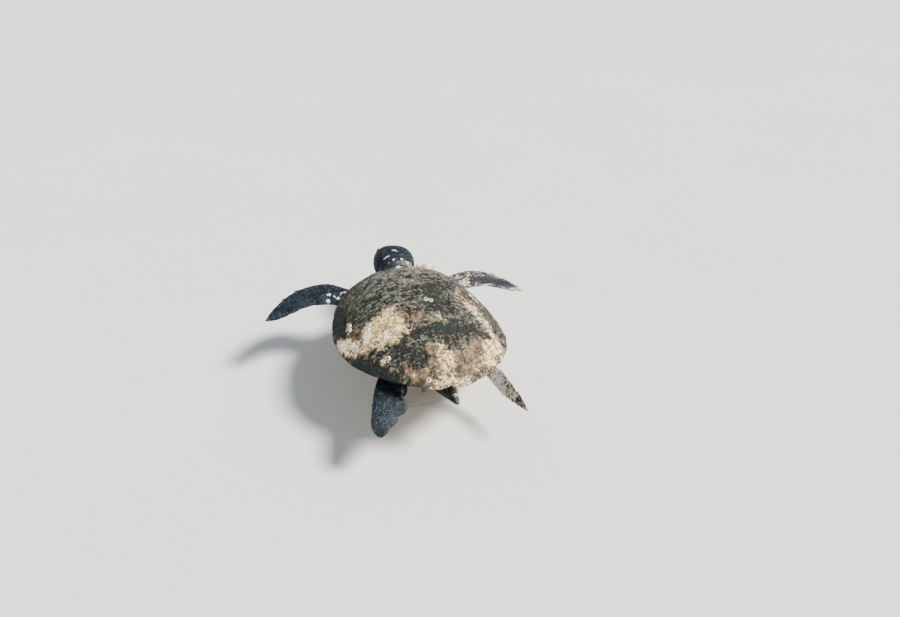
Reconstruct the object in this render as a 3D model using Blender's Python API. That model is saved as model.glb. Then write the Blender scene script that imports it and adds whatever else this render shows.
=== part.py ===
"""Life-size loggerhead turtle, swimming, held by a plain display stand.

The turtle is modelled level, in a body frame: x to its left, y towards its tail and z up,
with the middle of the shell's rim at the origin.  One empty then banks it and lifts it on
to the stand.  Most functions take 'fore', the distance ahead of mid-shell, which is -y.
"""
import math

import bmesh
import bpy
from mathutils import Euler, Matrix, Vector

# Pose: height of the shell's rim over the floor, and the roll to the turtle's right
RIDE_HEIGHT = 0.290
BANK = math.radians(-5.9)
GAP = 0.0003

# Shell, metres
SHELL_FRONT = 0.3905
SHELL_REAR = -0.408
SHELL_HALF_WIDTH = 0.329
SHELL_MIDDLE = (SHELL_FRONT + SHELL_REAR) / 2.0
SHELL_HALF_LENGTH = (SHELL_FRONT - SHELL_REAR) / 2.0
CROWN_HEIGHT = 0.1447
CROWN_FORE = 0.0526
CROWN_FRONT_REACH = 0.3526
CROWN_REAR_REACH = 0.4606
FLANK_POWER = 2.17
RIM_SAG = 0.0326
REAR_FLARE = 0.0122
FLARE_START = -0.163
FLARE_LENGTH = 0.245
NAPE_ARCH = 0.016
NAPE_HALF_WIDTH = 0.110
NAPE_POWER = 6
PLATE_THICKNESS = 0.010
PLATE_SWELL = 0.0025
KEEL_HEIGHT = 0.004
KEEL_HALF_WIDTH = 0.03

# How each outline falls away: the power of the distance and the root taken of the rest
RIM_FRONT_CURVE = (1.72, 0.352)
RIM_REAR_CURVE = (2.23, 0.807)
CROWN_FRONT_CURVE = (2.58, 1.04)
CROWN_REAR_CURVE = (1.724, 0.986)
BELLY_FRONT_CURVE = (4.5, 1.0)
BELLY_REAR_CURVE = (2.8, 1.0)
PLASTRON_LOBE_CURVE = (3.0, 0.55)
SNOUT_CURVE = (2.0, 0.5)

# Seams of the shell plates: w runs round the rim from 0 at the front to 1 at the tail
RIM_INSET = 0.86
RIM_SEAMS = (0.033, 0.078, 0.235, 0.377, 0.520, 0.671, 0.790, 0.870)
VERTEBRAL_SEAMS = (0.225, 0.075, -0.080, -0.225)
VERTEBRAL_HALF_WIDTHS = (0.078, 0.078, 0.073, 0.062)
CORNER_HALF_WIDTHS = (0.095, 0.100, 0.098, 0.088)
PLATE_CELLS_LONG = 6
COSTAL_CELLS_WIDE = 5
VERTEBRAL_CELLS_WIDE = 4
MARGINAL_STEPS = 3
MARGINAL_NOTCH = 0.012
MARGINAL_INNER = RIM_INSET + 0.0016
MARGINAL_TOP = (MARGINAL_INNER, 0.935, 0.985)
MARGINAL_UNDER = 0.975
RIM_LIP = 0.005
RIM_UNDERCUT = 0.012
RIM_DEPTH = 0.018

# Soft body under the plates, and the lower shell
BELLY_DEPTH = 0.116
BELLY_FORE = 0.033
CHEST_OVERHANG = 0.050
TRUNK_SEGMENTS = 44
TRUNK_RINGS = (0.30, 0.58, 0.80, 0.94, 1.0)
TRUNK_INSET = RIM_INSET - 0.004
TRUNK_CLEARANCE = 0.001
PLASTRON_THICKNESS = 0.009
PLASTRON_BED = 0.008
PLASTRON_FRONT = 0.272
PLASTRON_REAR = -0.262
PLASTRON_LOBE = 0.175
PLASTRON_BRIDGE = 0.105
BRIDGE_FORE = -0.015
BRIDGE_REACH = 0.115
PLASTRON_CELLS = (14, 8)

# Head, in its own frame: x left, y towards the neck, origin where the neck ends
HEAD_LENGTH = 0.222
HEAD_HINGE = (-0.013, -0.440, -0.012)
HEAD_TURN = math.radians(7.0)
HEAD_TILT = math.radians(3.0)
EYE_RADIUS = 0.0155
EYE_PLACE = (0.0580, -0.152, 0.020)
HEAD_HALF_WIDTHS = ((0.0, 0.29), (0.2, 0.385), (0.4, 0.410), (0.6, 0.375), (0.8, 0.280), (1.0, 0.185))
HEAD_TOPS = ((0.0, 0.22), (0.2, 0.285), (0.4, 0.300), (0.6, 0.275), (0.8, 0.190), (1.0, 0.070))
HEAD_BOTTOMS = ((0.0, -0.24), (0.2, -0.290), (0.4, -0.285), (0.6, -0.262), (0.8, -0.235),
                (1.0, -0.215))
SNOUT_ROUND = 0.14
HEAD_STATIONS = (0.0, 0.12, 0.25, 0.38, 0.50, 0.61, 0.71, 0.80, 0.87, 0.92, 0.96, 0.985, 1.0)
HEAD_SEGMENTS = 20
CHEEK_LEVEL = 0.46
CROWN_SQUARE, CHEEK_SQUARE, RISE_SQUARE = 0.80, 0.72, 0.85

# Side views of the beak, as (fore, z): the bite line, then each plate's way back round
BITE_LINE = ((0.100, -0.031), (0.150, -0.027), (0.190, -0.028), (0.242, -0.032))
BEAK_UPPER = ((0.242, 0.030), (0.209, 0.026), (0.190, 0.006), (0.150, -0.006), (0.112, -0.014))
BEAK_LOWER = ((0.242, -0.075), (0.178, -0.055), (0.140, -0.047))
BEAK_CUTTER_HALF_WIDTH = 0.15

# Rings of the neck and tail: centre (x, y, z), half width and half height
NECK_RINGS = (((0.0, -0.180, -0.050), 0.070, 0.038), ((0.0, -0.280, -0.052), 0.070, 0.040),
              ((0.0, -0.365, -0.051), 0.068, 0.042), ((-0.012, -0.454, -0.020), 0.062, 0.046))
TAIL_RINGS = (((0.010, 0.250, -0.070), 0.062, 0.034), ((0.000, 0.330, -0.062), 0.044, 0.030),
              ((-0.008, 0.380, -0.050), 0.026, 0.021), ((-0.014, 0.415, -0.043), 0.012, 0.011),
              ((-0.016, 0.428, -0.041), 0.004, 0.004))

# Flippers: sections from root to tip, points across each, and the claws
FLIPPER_STATIONS = 13
FLIPPER_CHORD = (0.0, 0.03, 0.13, 0.33, 0.60, 0.85)
FLIPPER_CROWDING = 0.85
FLIPPER_FULLNESS = 1.75
FLIPPER_THINNING = 1.3
TRAILING_EDGE = 0.0012
SPAN_STEP = 0.05
CLAW_SEGMENTS = 8
CLAW_SLENDERNESS = 0.24
CLAW_TIP = 0.0006
CLAW_BED = 0.004

SKIN = (0.115, 0.135, 0.140)
SHELL = (0.19, 0.18, 0.13)
BELLY = (0.62, 0.55, 0.38)
HORN = (0.30, 0.26, 0.17)
EYE = (0.015, 0.013, 0.011)
STAND_PAINT = (0.55, 0.55, 0.54)
STAND_STEEL = (0.45, 0.45, 0.45)

STAND_BASE_SIZE = (0.250, 0.320, 0.016)
STAND_BASE_Y = -0.030
STAND_BASE_CORNER = 0.040
STAND_ROD_RADIUS = 0.008
STAND_PAD_SIZE = (0.060, 0.080, 0.006)
STAND_PAD_CORNER = 0.012
STAND_EDGE = 0.0015
STAND_RODS = {"front": -0.130, "rear": 0.070}


# ---------------------------------------------------------------- scene and helpers

def clear_scene():
    """Remove every object of the open file."""
    for old in list(bpy.data.objects):
        bpy.data.objects.remove(old, do_unlink=True)


def new_collection(name):
    """Make a collection under the scene's own."""
    made = bpy.data.collections.new(name)
    bpy.context.scene.collection.children.link(made)
    return made


def new_material(name, colour, roughness, metallic=0.0):
    """Plain Principled material."""
    made = bpy.data.materials.new(name)
    made.use_nodes = True
    shader = made.node_tree.nodes["Principled BSDF"]
    shader.inputs["Base Color"].default_value = (*colour, 1.0)
    shader.inputs["Roughness"].default_value = roughness
    shader.inputs["Metallic"].default_value = metallic
    return made


def add_object(name, bm, parent, material, smooth_angle=40.0):
    """Turn a bmesh into a named object; curved quads are split, so that cuts are exact."""
    bmesh.ops.recalc_face_normals(bm, faces=bm.faces)
    bmesh.ops.triangulate(bm, faces=bm.faces)
    mesh = bpy.data.meshes.new(name)
    bm.to_mesh(mesh)
    bm.free()
    mesh.shade_smooth()
    mesh.set_sharp_from_angle(angle=math.radians(smooth_angle))
    made = bpy.data.objects.new(name, mesh)
    made.data.materials.append(material)
    made.parent = parent
    PART.objects.link(made)
    return made


def move_to_cutters(made):
    """Take an object out of the model and keep it as a wire cutter."""
    for holder in list(made.users_collection):
        holder.objects.unlink(made)
    CUTTERS.objects.link(made)
    made.hide_render = True
    made.display_type = "WIRE"
    return made


def cut(target, cutter):
    """Subtract a cutter with the exact solver."""
    step = target.modifiers.new("cut_" + cutter.name, "BOOLEAN")
    step.operation = "DIFFERENCE"
    step.solver = "EXACT"
    step.object = cutter


def keep_inside(target, cutter):
    """Keep only what lies inside a cutter."""
    step = target.modifiers.new("keep_" + cutter.name, "BOOLEAN")
    step.operation = "INTERSECT"
    step.solver = "EXACT"
    step.object = cutter


def clearance_copy(source):
    """Cutter that is the source's own mesh grown evenly by the gap."""
    bm = bmesh.new()
    bm.from_mesh(source.data)
    grown = [v.co + v.normal * v.calc_shell_factor() * 1.2 * GAP for v in bm.verts]
    for vert, place in zip(bm.verts, grown):
        vert.co = place
    cutter = add_object("clear_" + source.name, bm, source.parent, source.data.materials[0])
    return move_to_cutters(cutter)


def loft(sections):
    """Closed body through rings of equal count, capped at both ends."""
    bm = bmesh.new()
    rings = [[bm.verts.new(point) for point in section] for section in sections]
    count = len(rings[0])
    for near, far in zip(rings, rings[1:]):
        for i in range(count):
            j = (i + 1) % count
            bm.faces.new((near[i], near[j], far[j], far[i]))
    bm.faces.new(rings[0][::-1])
    bm.faces.new(rings[-1])
    return bm


def through(points, t):
    """Point at t = 0..1 on a smooth Catmull-Rom curve through the given points."""
    last = len(points) - 1
    index = min(int(t * last), last - 1)
    u = t * last - index
    quad = [Vector(points[min(max(index + k, 0), last)]) for k in (-1, 0, 1, 2)]
    lead = 2.0 * quad[1]
    slope = (quad[2] - quad[0]) * u
    bend = (2.0 * quad[0] - 5.0 * quad[1] + 4.0 * quad[2] - quad[3]) * u * u
    twist = (3.0 * quad[1] - quad[0] - 3.0 * quad[2] + quad[3]) * u ** 3
    return (lead + slope + bend + twist) / 2.0


# ---------------------------------------------------------------- shell surfaces

def falloff(distance, reach, power, root):
    """1 at no distance, falling to 0 at the reach."""
    share = min(abs(distance / reach), 1.0)
    return (1.0 - share ** power) ** root


def half_width(fore):
    """Half the shell's width at a station: blunt ahead, pointed at the tail."""
    if fore >= 0.0:
        return SHELL_HALF_WIDTH * falloff(fore, SHELL_FRONT, *RIM_FRONT_CURVE)
    return SHELL_HALF_WIDTH * falloff(fore, SHELL_REAR, *RIM_REAR_CURVE)


def crown(fore):
    """Height of the shell's ridge line over the rim."""
    ahead = fore - CROWN_FORE
    if ahead >= 0.0:
        return CROWN_HEIGHT * falloff(ahead, CROWN_FRONT_REACH, *CROWN_FRONT_CURVE)
    return CROWN_HEIGHT * falloff(ahead, CROWN_REAR_REACH, *CROWN_REAR_CURVE)


def side_share(x, width):
    """How far out a point is, 0 on the midline and 1 on the edge."""
    return min(abs(x) / max(width, 1e-6), 1.0)


def rim_height(fore, side):
    """Drop of the rim along the flanks and its lift towards the tail."""
    sag = RIM_SAG * (1.0 - (fore / SHELL_REAR) ** 2) * side ** 2
    flare = REAR_FLARE * max(0.0, (FLARE_START - fore) / FLARE_LENGTH)
    return flare - sag


def dome(x, fore):
    """Height of the shell's outer surface."""
    side = side_share(x, half_width(fore))
    arch = NAPE_ARCH * max(0.0, 1.0 - (x / NAPE_HALF_WIDTH) ** 2) * side ** 2
    arch *= max(0.0, fore / SHELL_FRONT) ** NAPE_POWER
    return crown(fore) * (1.0 - side ** FLANK_POWER) + rim_height(fore, side) + arch


def rim(w, inset=1.0):
    """Plan point (x, fore) on the left rim, shrunk towards mid-shell by the inset."""
    fore = SHELL_MIDDLE + SHELL_HALF_LENGTH * math.cos(math.pi * w)
    return Vector((half_width(fore) * inset, SHELL_MIDDLE + (fore - SHELL_MIDDLE) * inset))


def inner_half_width(fore):
    """Half width of the body inside the marginal plates."""
    return RIM_INSET * half_width(SHELL_MIDDLE + (fore - SHELL_MIDDLE) / RIM_INSET)


def belly(x, fore):
    """Height of the soft body's underside."""
    ahead = fore - BELLY_FORE
    front = SHELL_MIDDLE + SHELL_HALF_LENGTH * RIM_INSET - BELLY_FORE + CHEST_OVERHANG
    rear = SHELL_MIDDLE - SHELL_HALF_LENGTH * RIM_INSET - BELLY_FORE
    if ahead >= 0.0:
        depth = falloff(ahead, front, *BELLY_FRONT_CURVE)
    else:
        depth = falloff(ahead, rear, *BELLY_REAR_CURVE)
    side = side_share(x, inner_half_width(fore))
    rise = (rim_height(fore, 1.0) - RIM_DEPTH) * side ** 2
    return rise - BELLY_DEPTH * depth * (1.0 - side ** 3)


# ---------------------------------------------------------------- shell plates

def mirrored(points):
    """Plan points swapped to the turtle's right."""
    return [Vector((-p[0], p[1])) for p in points]


def steps(start, end, count):
    """Evenly spaced values, both ends included."""
    return [start + (end - start) * i / count for i in range(count + 1)]


def line(start, end, count):
    """Evenly spaced plan points on a straight seam."""
    return [Vector(start).lerp(Vector(end), t) for t in steps(0.0, 1.0, count)]


def rim_run(w_start, w_end, count):
    """Plan points along the seam between the marginals and the inner plates."""
    return [rim(w, RIM_INSET) for w in steps(w_start, w_end, count)]


def vertebral_corners():
    """Left corners of the vertebral row, front to rear: seam ends and outward corners."""
    front = rim(RIM_SEAMS[0], RIM_INSET)
    rear = rim(RIM_SEAMS[7], RIM_INSET)
    seams = [front] + [Vector(p) for p in zip(VERTEBRAL_HALF_WIDTHS, VERTEBRAL_SEAMS)] + [rear]
    middles = [0.5 * (a.y + b.y) for a, b in zip(seams, seams[1:])]
    outward = [Vector(p) for p in zip(CORNER_HALF_WIDTHS, middles)]
    outward.append((seams[4] + seams[5]) / 2.0)
    return seams, outward


def patch(inner, outer, front, rear):
    """Coons grid of plan points between four seams, rows from front to rear."""
    rows = []
    long_cells, wide_cells = len(inner) - 1, len(front) - 1
    for i in range(long_cells + 1):
        v = i / long_cells
        row = []
        for j in range(wide_cells + 1):
            u = j / wide_cells
            across = inner[i].lerp(outer[i], u)
            along = front[j].lerp(rear[j], v)
            corners = front[0].lerp(front[-1], u).lerp(rear[0].lerp(rear[-1], u), v)
            row.append(across + along - corners)
        rows.append(row)
    return rows


def pull_in(rows, distance):
    """Move the border of a grid inwards, so that neighbours keep a thin cut."""
    last_row, last_col = len(rows) - 1, len(rows[0]) - 1
    moved = [[p.copy() for p in row] for row in rows]
    for i, row in enumerate(rows):
        for j, point in enumerate(row):
            if i in (0, last_row):
                inward = rows[1 if i == 0 else last_row - 1][j] - point
                moved[i][j] += inward.normalized() * distance
            if j in (0, last_col):
                inward = row[1 if j == 0 else last_col - 1] - point
                moved[i][j] += inward.normalized() * distance
    return moved


def plate(name, rows, keel=0.0):
    """Shell plate: a grid laid on the dome, a little swollen, and thickened downwards."""
    long_cells, wide_cells = len(rows) - 1, len(rows[0]) - 1
    bm = bmesh.new()
    bmesh.ops.create_grid(bm, x_segments=long_cells, y_segments=wide_cells, size=0.5)
    bm.verts.ensure_lookup_table()
    grid = pull_in(rows, 0.8 * GAP)
    for vert in bm.verts:
        v, u = vert.co.x + 0.5, vert.co.y + 0.5
        point = grid[round(v * long_cells)][round(u * wide_cells)]
        swell = PLATE_SWELL * math.sin(math.pi * u) * math.sin(math.pi * v)
        ridge = keel * v * max(0.0, 1.0 - abs(point.x) / KEEL_HALF_WIDTH)
        ridge *= math.sin(math.pi * min(v, 0.9))
        vert.co = (point.x, -point.y, dome(point.x, point.y) + swell + ridge)
    top = list(bm.faces)
    under = bmesh.ops.extrude_face_region(bm, geom=top)
    sunk = [item for item in under["geom"] if isinstance(item, bmesh.types.BMVert)]
    bmesh.ops.translate(bm, verts=sunk, vec=(0.0, 0.0, -PLATE_THICKNESS))
    return add_object(name, bm, BODY, MATERIALS["shell"], smooth_angle=60.0)


def make_vertebrals():
    """Five plates along the ridge, six-sided but for the last."""
    seams, outward = vertebral_corners()
    half = PLATE_CELLS_LONG // 2
    for k in range(5):
        left = line(seams[k], outward[k], half)[:-1] + line(outward[k], seams[k + 1], half)
        front = line(seams[k] * Vector((-1.0, 1.0)), seams[k], VERTEBRAL_CELLS_WIDE)
        rear = line(seams[k + 1] * Vector((-1.0, 1.0)), seams[k + 1], VERTEBRAL_CELLS_WIDE)
        if k == 0:
            run = rim_run(0.0, RIM_SEAMS[0], VERTEBRAL_CELLS_WIDE // 2)
            front = mirrored(run)[:0:-1] + run
        if k == 4:
            run = rim_run(1.0, RIM_SEAMS[7], VERTEBRAL_CELLS_WIDE // 2)
            rear = mirrored(run)[:0:-1] + run
        rows = patch(mirrored(left), left, front, rear)
        plate(f"vertebral_{k + 1}", rows, keel=KEEL_HEIGHT)


def make_costals():
    """Five plates down each flank, from the vertebral row to the marginals."""
    seams, outward = vertebral_corners()
    half = PLATE_CELLS_LONG // 2
    inner_runs = [line(seams[0], outward[0], PLATE_CELLS_LONG)]
    for k in range(1, 4):
        upper = line(outward[k - 1], seams[k], half)[:-1]
        inner_runs.append(upper + line(seams[k], outward[k], half))
    inner_runs.append(line(outward[3], seams[4], half)[:-1] + line(seams[4], seams[5], half))
    outer_runs = [rim_run(a, b, PLATE_CELLS_LONG) for a, b in zip(RIM_SEAMS[1:6], RIM_SEAMS[2:7])]
    cross = [line(inner_runs[k][-1], outer_runs[k][-1], COSTAL_CELLS_WIDE) for k in range(4)]
    first = rim_run(RIM_SEAMS[0], RIM_SEAMS[1], COSTAL_CELLS_WIDE)
    last = rim_run(RIM_SEAMS[7], RIM_SEAMS[6], COSTAL_CELLS_WIDE)
    cross = [first] + cross + [last]
    for k in range(5):
        rows = patch(inner_runs[k], outer_runs[k], cross[k], cross[k + 1])
        plate(f"costal_left_{k + 1}", rows)
        flipped = [mirrored(row)[::-1] for row in rows]
        plate(f"costal_right_{k + 1}", flipped)


def rim_stations():
    """Every w at which the inner plates have a corner on the marginal seam."""
    bounds = (0.0,) + RIM_SEAMS + (1.0,)
    counts = [VERTEBRAL_CELLS_WIDE // 2, COSTAL_CELLS_WIDE] + [PLATE_CELLS_LONG] * 5
    counts += [COSTAL_CELLS_WIDE, VERTEBRAL_CELLS_WIDE // 2]
    found = [0.0]
    for (a, b), count in zip(zip(bounds, bounds[1:]), counts):
        found += steps(a, b, count)[1:]
    return found


def rim_section(w, side, edge_out=0.0):
    """Wedge section of the marginal ring, from its inner seam round the edge and back."""
    plan = [rim(w, share) for share in MARGINAL_TOP]
    points = [(p.x, p.y, dome(p.x, p.y)) for p in plan]
    height = dome(rim(w).x, rim(w).y)
    lower = ((1.0 + edge_out, RIM_LIP), (MARGINAL_UNDER, RIM_UNDERCUT), (MARGINAL_INNER, RIM_DEPTH))
    for share, drop in lower:
        p = rim(w, share)
        points.append((p.x, p.y, height - drop))
    return [Vector((side * x, -fore, z)) for x, fore, z in points]


def make_marginals():
    """Ring of edge plates: one node on each side, and the nuchal across the front."""
    stations = rim_stations()
    nuchal_end = VERTEBRAL_CELLS_WIDE // 2 + COSTAL_CELLS_WIDE
    front = [rim_section(w, -1.0) for w in stations[nuchal_end:0:-1]]
    front += [rim_section(w, 1.0) for w in stations[:nuchal_end + 1]]
    add_object("nuchal", loft(front), BODY, MATERIALS["shell"])
    for side, word in ((1.0, "left"), (-1.0, "right")):
        sections = []
        run = stations[nuchal_end:]
        for i, w in enumerate(run):
            bulge = MARGINAL_NOTCH * w * math.sin(math.pi * (i % MARGINAL_STEPS) / MARGINAL_STEPS)
            sections.append(rim_section(w, side, bulge))
        for end, inward in ((0, 1), (-1, -2)):
            toward = [(b - a).normalized() for a, b in zip(sections[end], sections[inward])]
            sections[end] = [p + GAP * step for p, step in zip(sections[end], toward)]
        add_object(f"marginals_{word}", loft(sections), BODY, MATERIALS["shell"])


# ---------------------------------------------------------------- body and plastron

def make_trunk():
    """Soft body under the plates: its top follows the dome and its underside the belly."""
    around = TRUNK_SEGMENTS
    bm = bmesh.new()
    layers = {}
    for layer, surface in (("top", dome), ("under", belly)):
        drop = PLATE_THICKNESS + TRUNK_CLEARANCE if layer == "top" else 0.0
        centre = bm.verts.new((0.0, -SHELL_MIDDLE, surface(0.0, SHELL_MIDDLE) - drop))
        loops = []
        for share in TRUNK_RINGS:
            loop = []
            for i in range(around):
                w = 2.0 * i / around
                p = rim(w if w <= 1.0 else 2.0 - w, TRUNK_INSET * share)
                x = p.x if w <= 1.0 else -p.x
                loop.append(bm.verts.new((x, -p.y, surface(x, p.y) - drop)))
            loops.append(loop)
        for i in range(around):
            bm.faces.new((centre, loops[0][i], loops[0][(i + 1) % around]))
        for near, far in zip(loops, loops[1:]):
            for i in range(around):
                j = (i + 1) % around
                bm.faces.new((near[i], near[j], far[j], far[i]))
        layers[layer] = loops[-1]
    for i in range(around):
        j = (i + 1) % around
        bm.faces.new((layers["top"][i], layers["top"][j], layers["under"][j], layers["under"][i]))
    return add_object("trunk", bm, BODY, MATERIALS["skin"])


def plastron_half_width(fore):
    """Narrow lobes ahead and behind, and wide bridges amidships."""
    centre = 0.5 * (PLASTRON_FRONT + PLASTRON_REAR)
    reach = 0.5 * (PLASTRON_FRONT - PLASTRON_REAR)
    lobe = PLASTRON_LOBE * falloff(fore - centre, reach, *PLASTRON_LOBE_CURVE)
    return lobe + PLASTRON_BRIDGE * math.exp(-((fore - BRIDGE_FORE) / BRIDGE_REACH) ** 4)


def make_plastron():
    """Lower shell: a plate that hugs the belly and turns up at the bridges."""
    long_cells, wide_cells = PLASTRON_CELLS
    bm = bmesh.new()
    bmesh.ops.create_grid(bm, x_segments=long_cells, y_segments=wide_cells, size=0.5)
    for vert in bm.verts:
        along, across = vert.co.x, vert.co.y
        centre = 0.5 * (PLASTRON_FRONT + PLASTRON_REAR)
        reach = 0.5 * (PLASTRON_FRONT - PLASTRON_REAR)
        fore = centre + reach * 0.985 * math.sin(math.pi * along)
        x = 2.0 * across * plastron_half_width(fore)
        vert.co = (x, -fore, belly(x, fore) + PLASTRON_BED)
    top = list(bm.faces)
    under = bmesh.ops.extrude_face_region(bm, geom=top)
    sunk = [item for item in under["geom"] if isinstance(item, bmesh.types.BMVert)]
    bmesh.ops.translate(bm, verts=sunk, vec=(0.0, 0.0, -PLASTRON_THICKNESS - PLASTRON_BED))
    return add_object("plastron", bm, BODY, MATERIALS["belly"])


# ---------------------------------------------------------------- head and neck

def head_profile(u):
    """Half width, top and bottom of the head at u = 0 (neck) to 1 (beak tip), in lengths."""
    rows = (HEAD_HALF_WIDTHS, HEAD_TOPS, HEAD_BOTTOMS)
    half, top, bottom = [through([(a, b, 0.0) for a, b in row], u).y for row in rows]
    close = falloff(max(0.0, u - 1.0 + SNOUT_ROUND), SNOUT_ROUND * 1.03, *SNOUT_CURVE)
    middle = 0.25 * top + 0.75 * bottom
    top, bottom = middle + (top - middle) * close, middle + (bottom - middle) * close
    return half * close * HEAD_LENGTH, top * HEAD_LENGTH, bottom * HEAD_LENGTH


def head_section(u):
    """Rounded section, with full cheeks below and a flatter crown above."""
    half, top, bottom = head_profile(u)
    middle = bottom + CHEEK_LEVEL * (top - bottom)
    points = []
    for i in range(HEAD_SEGMENTS):
        angle = 2.0 * math.pi * i / HEAD_SEGMENTS
        c, s = math.cos(angle), math.sin(angle)
        power = CROWN_SQUARE if s > 0.0 else CHEEK_SQUARE
        x = half * math.copysign(abs(c) ** power, c)
        rise = (top - middle) if s > 0.0 else (middle - bottom)
        z = middle + rise * math.copysign(abs(s) ** RISE_SQUARE, s)
        points.append((x, -u * HEAD_LENGTH, z))
    return points


def side_prism(name, outline, half_width_x=BEAK_CUTTER_HALF_WIDTH):
    """Cutter: a side-view outline (fore, z) of the head, extruded across it."""
    bm = bmesh.new()
    verts = [bm.verts.new((-half_width_x, -fore, z)) for fore, z in outline]
    face = bm.faces.new(verts)
    made = bmesh.ops.extrude_face_region(bm, geom=[face])
    moved = [item for item in made["geom"] if isinstance(item, bmesh.types.BMVert)]
    bmesh.ops.translate(bm, verts=moved, vec=(2.0 * half_width_x, 0.0, 0.0))
    prism = add_object(name, bm, HEAD, MATERIALS["horn"])
    return move_to_cutters(prism)


def make_head():
    """Big blunt head with its two beak plates and its eyes."""
    rings = [head_section(u) for u in HEAD_STATIONS]
    skull = add_object("head", loft(rings), HEAD, MATERIALS["skin"])
    lower_bite = tuple((fore, z - GAP) for fore, z in BITE_LINE)
    for word, outline in (("beak_upper", BITE_LINE + BEAK_UPPER),
                          ("beak_lower", lower_bite + BEAK_LOWER)):
        whole = skull.copy()
        whole.data = skull.data.copy()
        whole.name = word
        whole.data.materials.clear()
        whole.data.materials.append(MATERIALS["horn"])
        PART.objects.link(whole)
        keep_inside(whole, side_prism("region_" + word, outline))
    mouth = beak_region()
    for side, word in ((1.0, "left"), (-1.0, "right")):
        eye = make_eye(side, word)
        cut(skull, clearance_copy(eye))
    cut(skull, mouth)
    return skull


def beak_region():
    """Cutter that takes both beak plates, and the gap round them, out of the head."""
    corner = (BITE_LINE[0][0] - 0.001, BITE_LINE[0][1])
    border = [Vector(p) for p in (*BEAK_UPPER, corner, *reversed(BEAK_LOWER))]
    centre = sum(border, Vector((0.0, 0.0))) / len(border)
    grown = [p + (p - centre).normalized() * 2.0 * GAP for p in border]
    return side_prism("region_mouth", grown, BEAK_CUTTER_HALF_WIDTH + 0.01)


def make_eye(side, word):
    """Eyeball set into the side of the head."""
    bm = bmesh.new()
    place = Vector((side * EYE_PLACE[0], EYE_PLACE[1], EYE_PLACE[2]))
    bmesh.ops.create_uvsphere(bm, u_segments=12, v_segments=8, radius=EYE_RADIUS,
                              matrix=Matrix.Translation(place))
    return add_object(f"eye_{word}", bm, HEAD, MATERIALS["eye"])


def ellipse(centre, half_x, half_z, count=16):
    """Ring of points across the body."""
    turns = [2.0 * math.pi * i / count for i in range(count)]
    return [(centre[0] + half_x * math.cos(a), centre[1], centre[2] + half_z * math.sin(a))
            for a in turns]


def make_neck():
    """Thick neck from inside the shell to the head."""
    neck = loft([ellipse(*ring) for ring in NECK_RINGS])
    return add_object("neck", neck, BODY, MATERIALS["skin"])


def make_tail():
    """Short tail of a female or young turtle, bent a little to its right."""
    tail = loft([ellipse(*ring, count=12) for ring in TAIL_RINGS])
    return add_object("tail", tail, BODY, MATERIALS["skin"])


# ---------------------------------------------------------------- flippers

def flipper_section(lead, trail, span, thickness):
    """Wing-like section: round leading edge, thin trailing edge."""
    chord = trail - lead
    side = math.copysign(1.0, lead.x)
    up = side * span.cross(chord).normalized()
    points = []
    for share in FLIPPER_CHORD:
        swell = thickness * FLIPPER_FULLNESS * math.sqrt(share) * (1.0 - share) ** 0.75
        points.append((share, swell + TRAILING_EDGE * share))
    upper = [lead + chord * share + up * lift for share, lift in points]
    lower = [lead + chord * share - up * lift for share, lift in reversed(points[1:])]
    end = [trail + up * 0.8 * TRAILING_EDGE, trail - up * 0.8 * TRAILING_EDGE]
    return upper + end + lower


def rail(points, t):
    """Point on a flipper's edge, from (x, fore, z) points."""
    x, fore, z = through(points, t)
    return Vector((x, -fore, z))


def make_flipper(name, lead_points, trail_points, root_thickness, tip_thickness):
    """Flipper between its leading and trailing edges."""
    sections = []
    for t in steps(0.0, 1.0, FLIPPER_STATIONS - 1):
        t = t ** FLIPPER_CROWDING
        lead, trail = rail(lead_points, t), rail(trail_points, t)
        ahead, behind = min(t + SPAN_STEP, 1.0), max(t - SPAN_STEP, 0.0)
        span = rail(lead_points, ahead) + rail(trail_points, ahead)
        span -= rail(lead_points, behind) + rail(trail_points, behind)
        taper = (1.0 - t) ** FLIPPER_THINNING
        thickness = tip_thickness + (root_thickness - tip_thickness) * taper
        sections.append(flipper_section(lead, trail, span, thickness))
    return add_object(name, loft(sections), BODY, MATERIALS["skin"])


def claw(name, lead_points, trail_points, t, length):
    """Small claw on a flipper's leading edge, pointing out and towards the tip."""
    root, behind = rail(lead_points, t), rail(trail_points, t)
    inward = (behind - root).normalized()
    along = (rail(lead_points, min(t + SPAN_STEP, 1.0)) - root).normalized()
    out = (along - 0.9 * inward).normalized()
    bm = bmesh.new()
    turn = out.to_track_quat("Z", "Y").to_matrix().to_4x4()
    place = Matrix.Translation(root + inward * CLAW_BED + out * length * 0.45) @ turn
    bmesh.ops.create_cone(bm, cap_ends=True, segments=CLAW_SEGMENTS, depth=length, matrix=place,
                          radius1=length * CLAW_SLENDERNESS, radius2=CLAW_TIP)
    return add_object(name, bm, BODY, MATERIALS["horn"])


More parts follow.
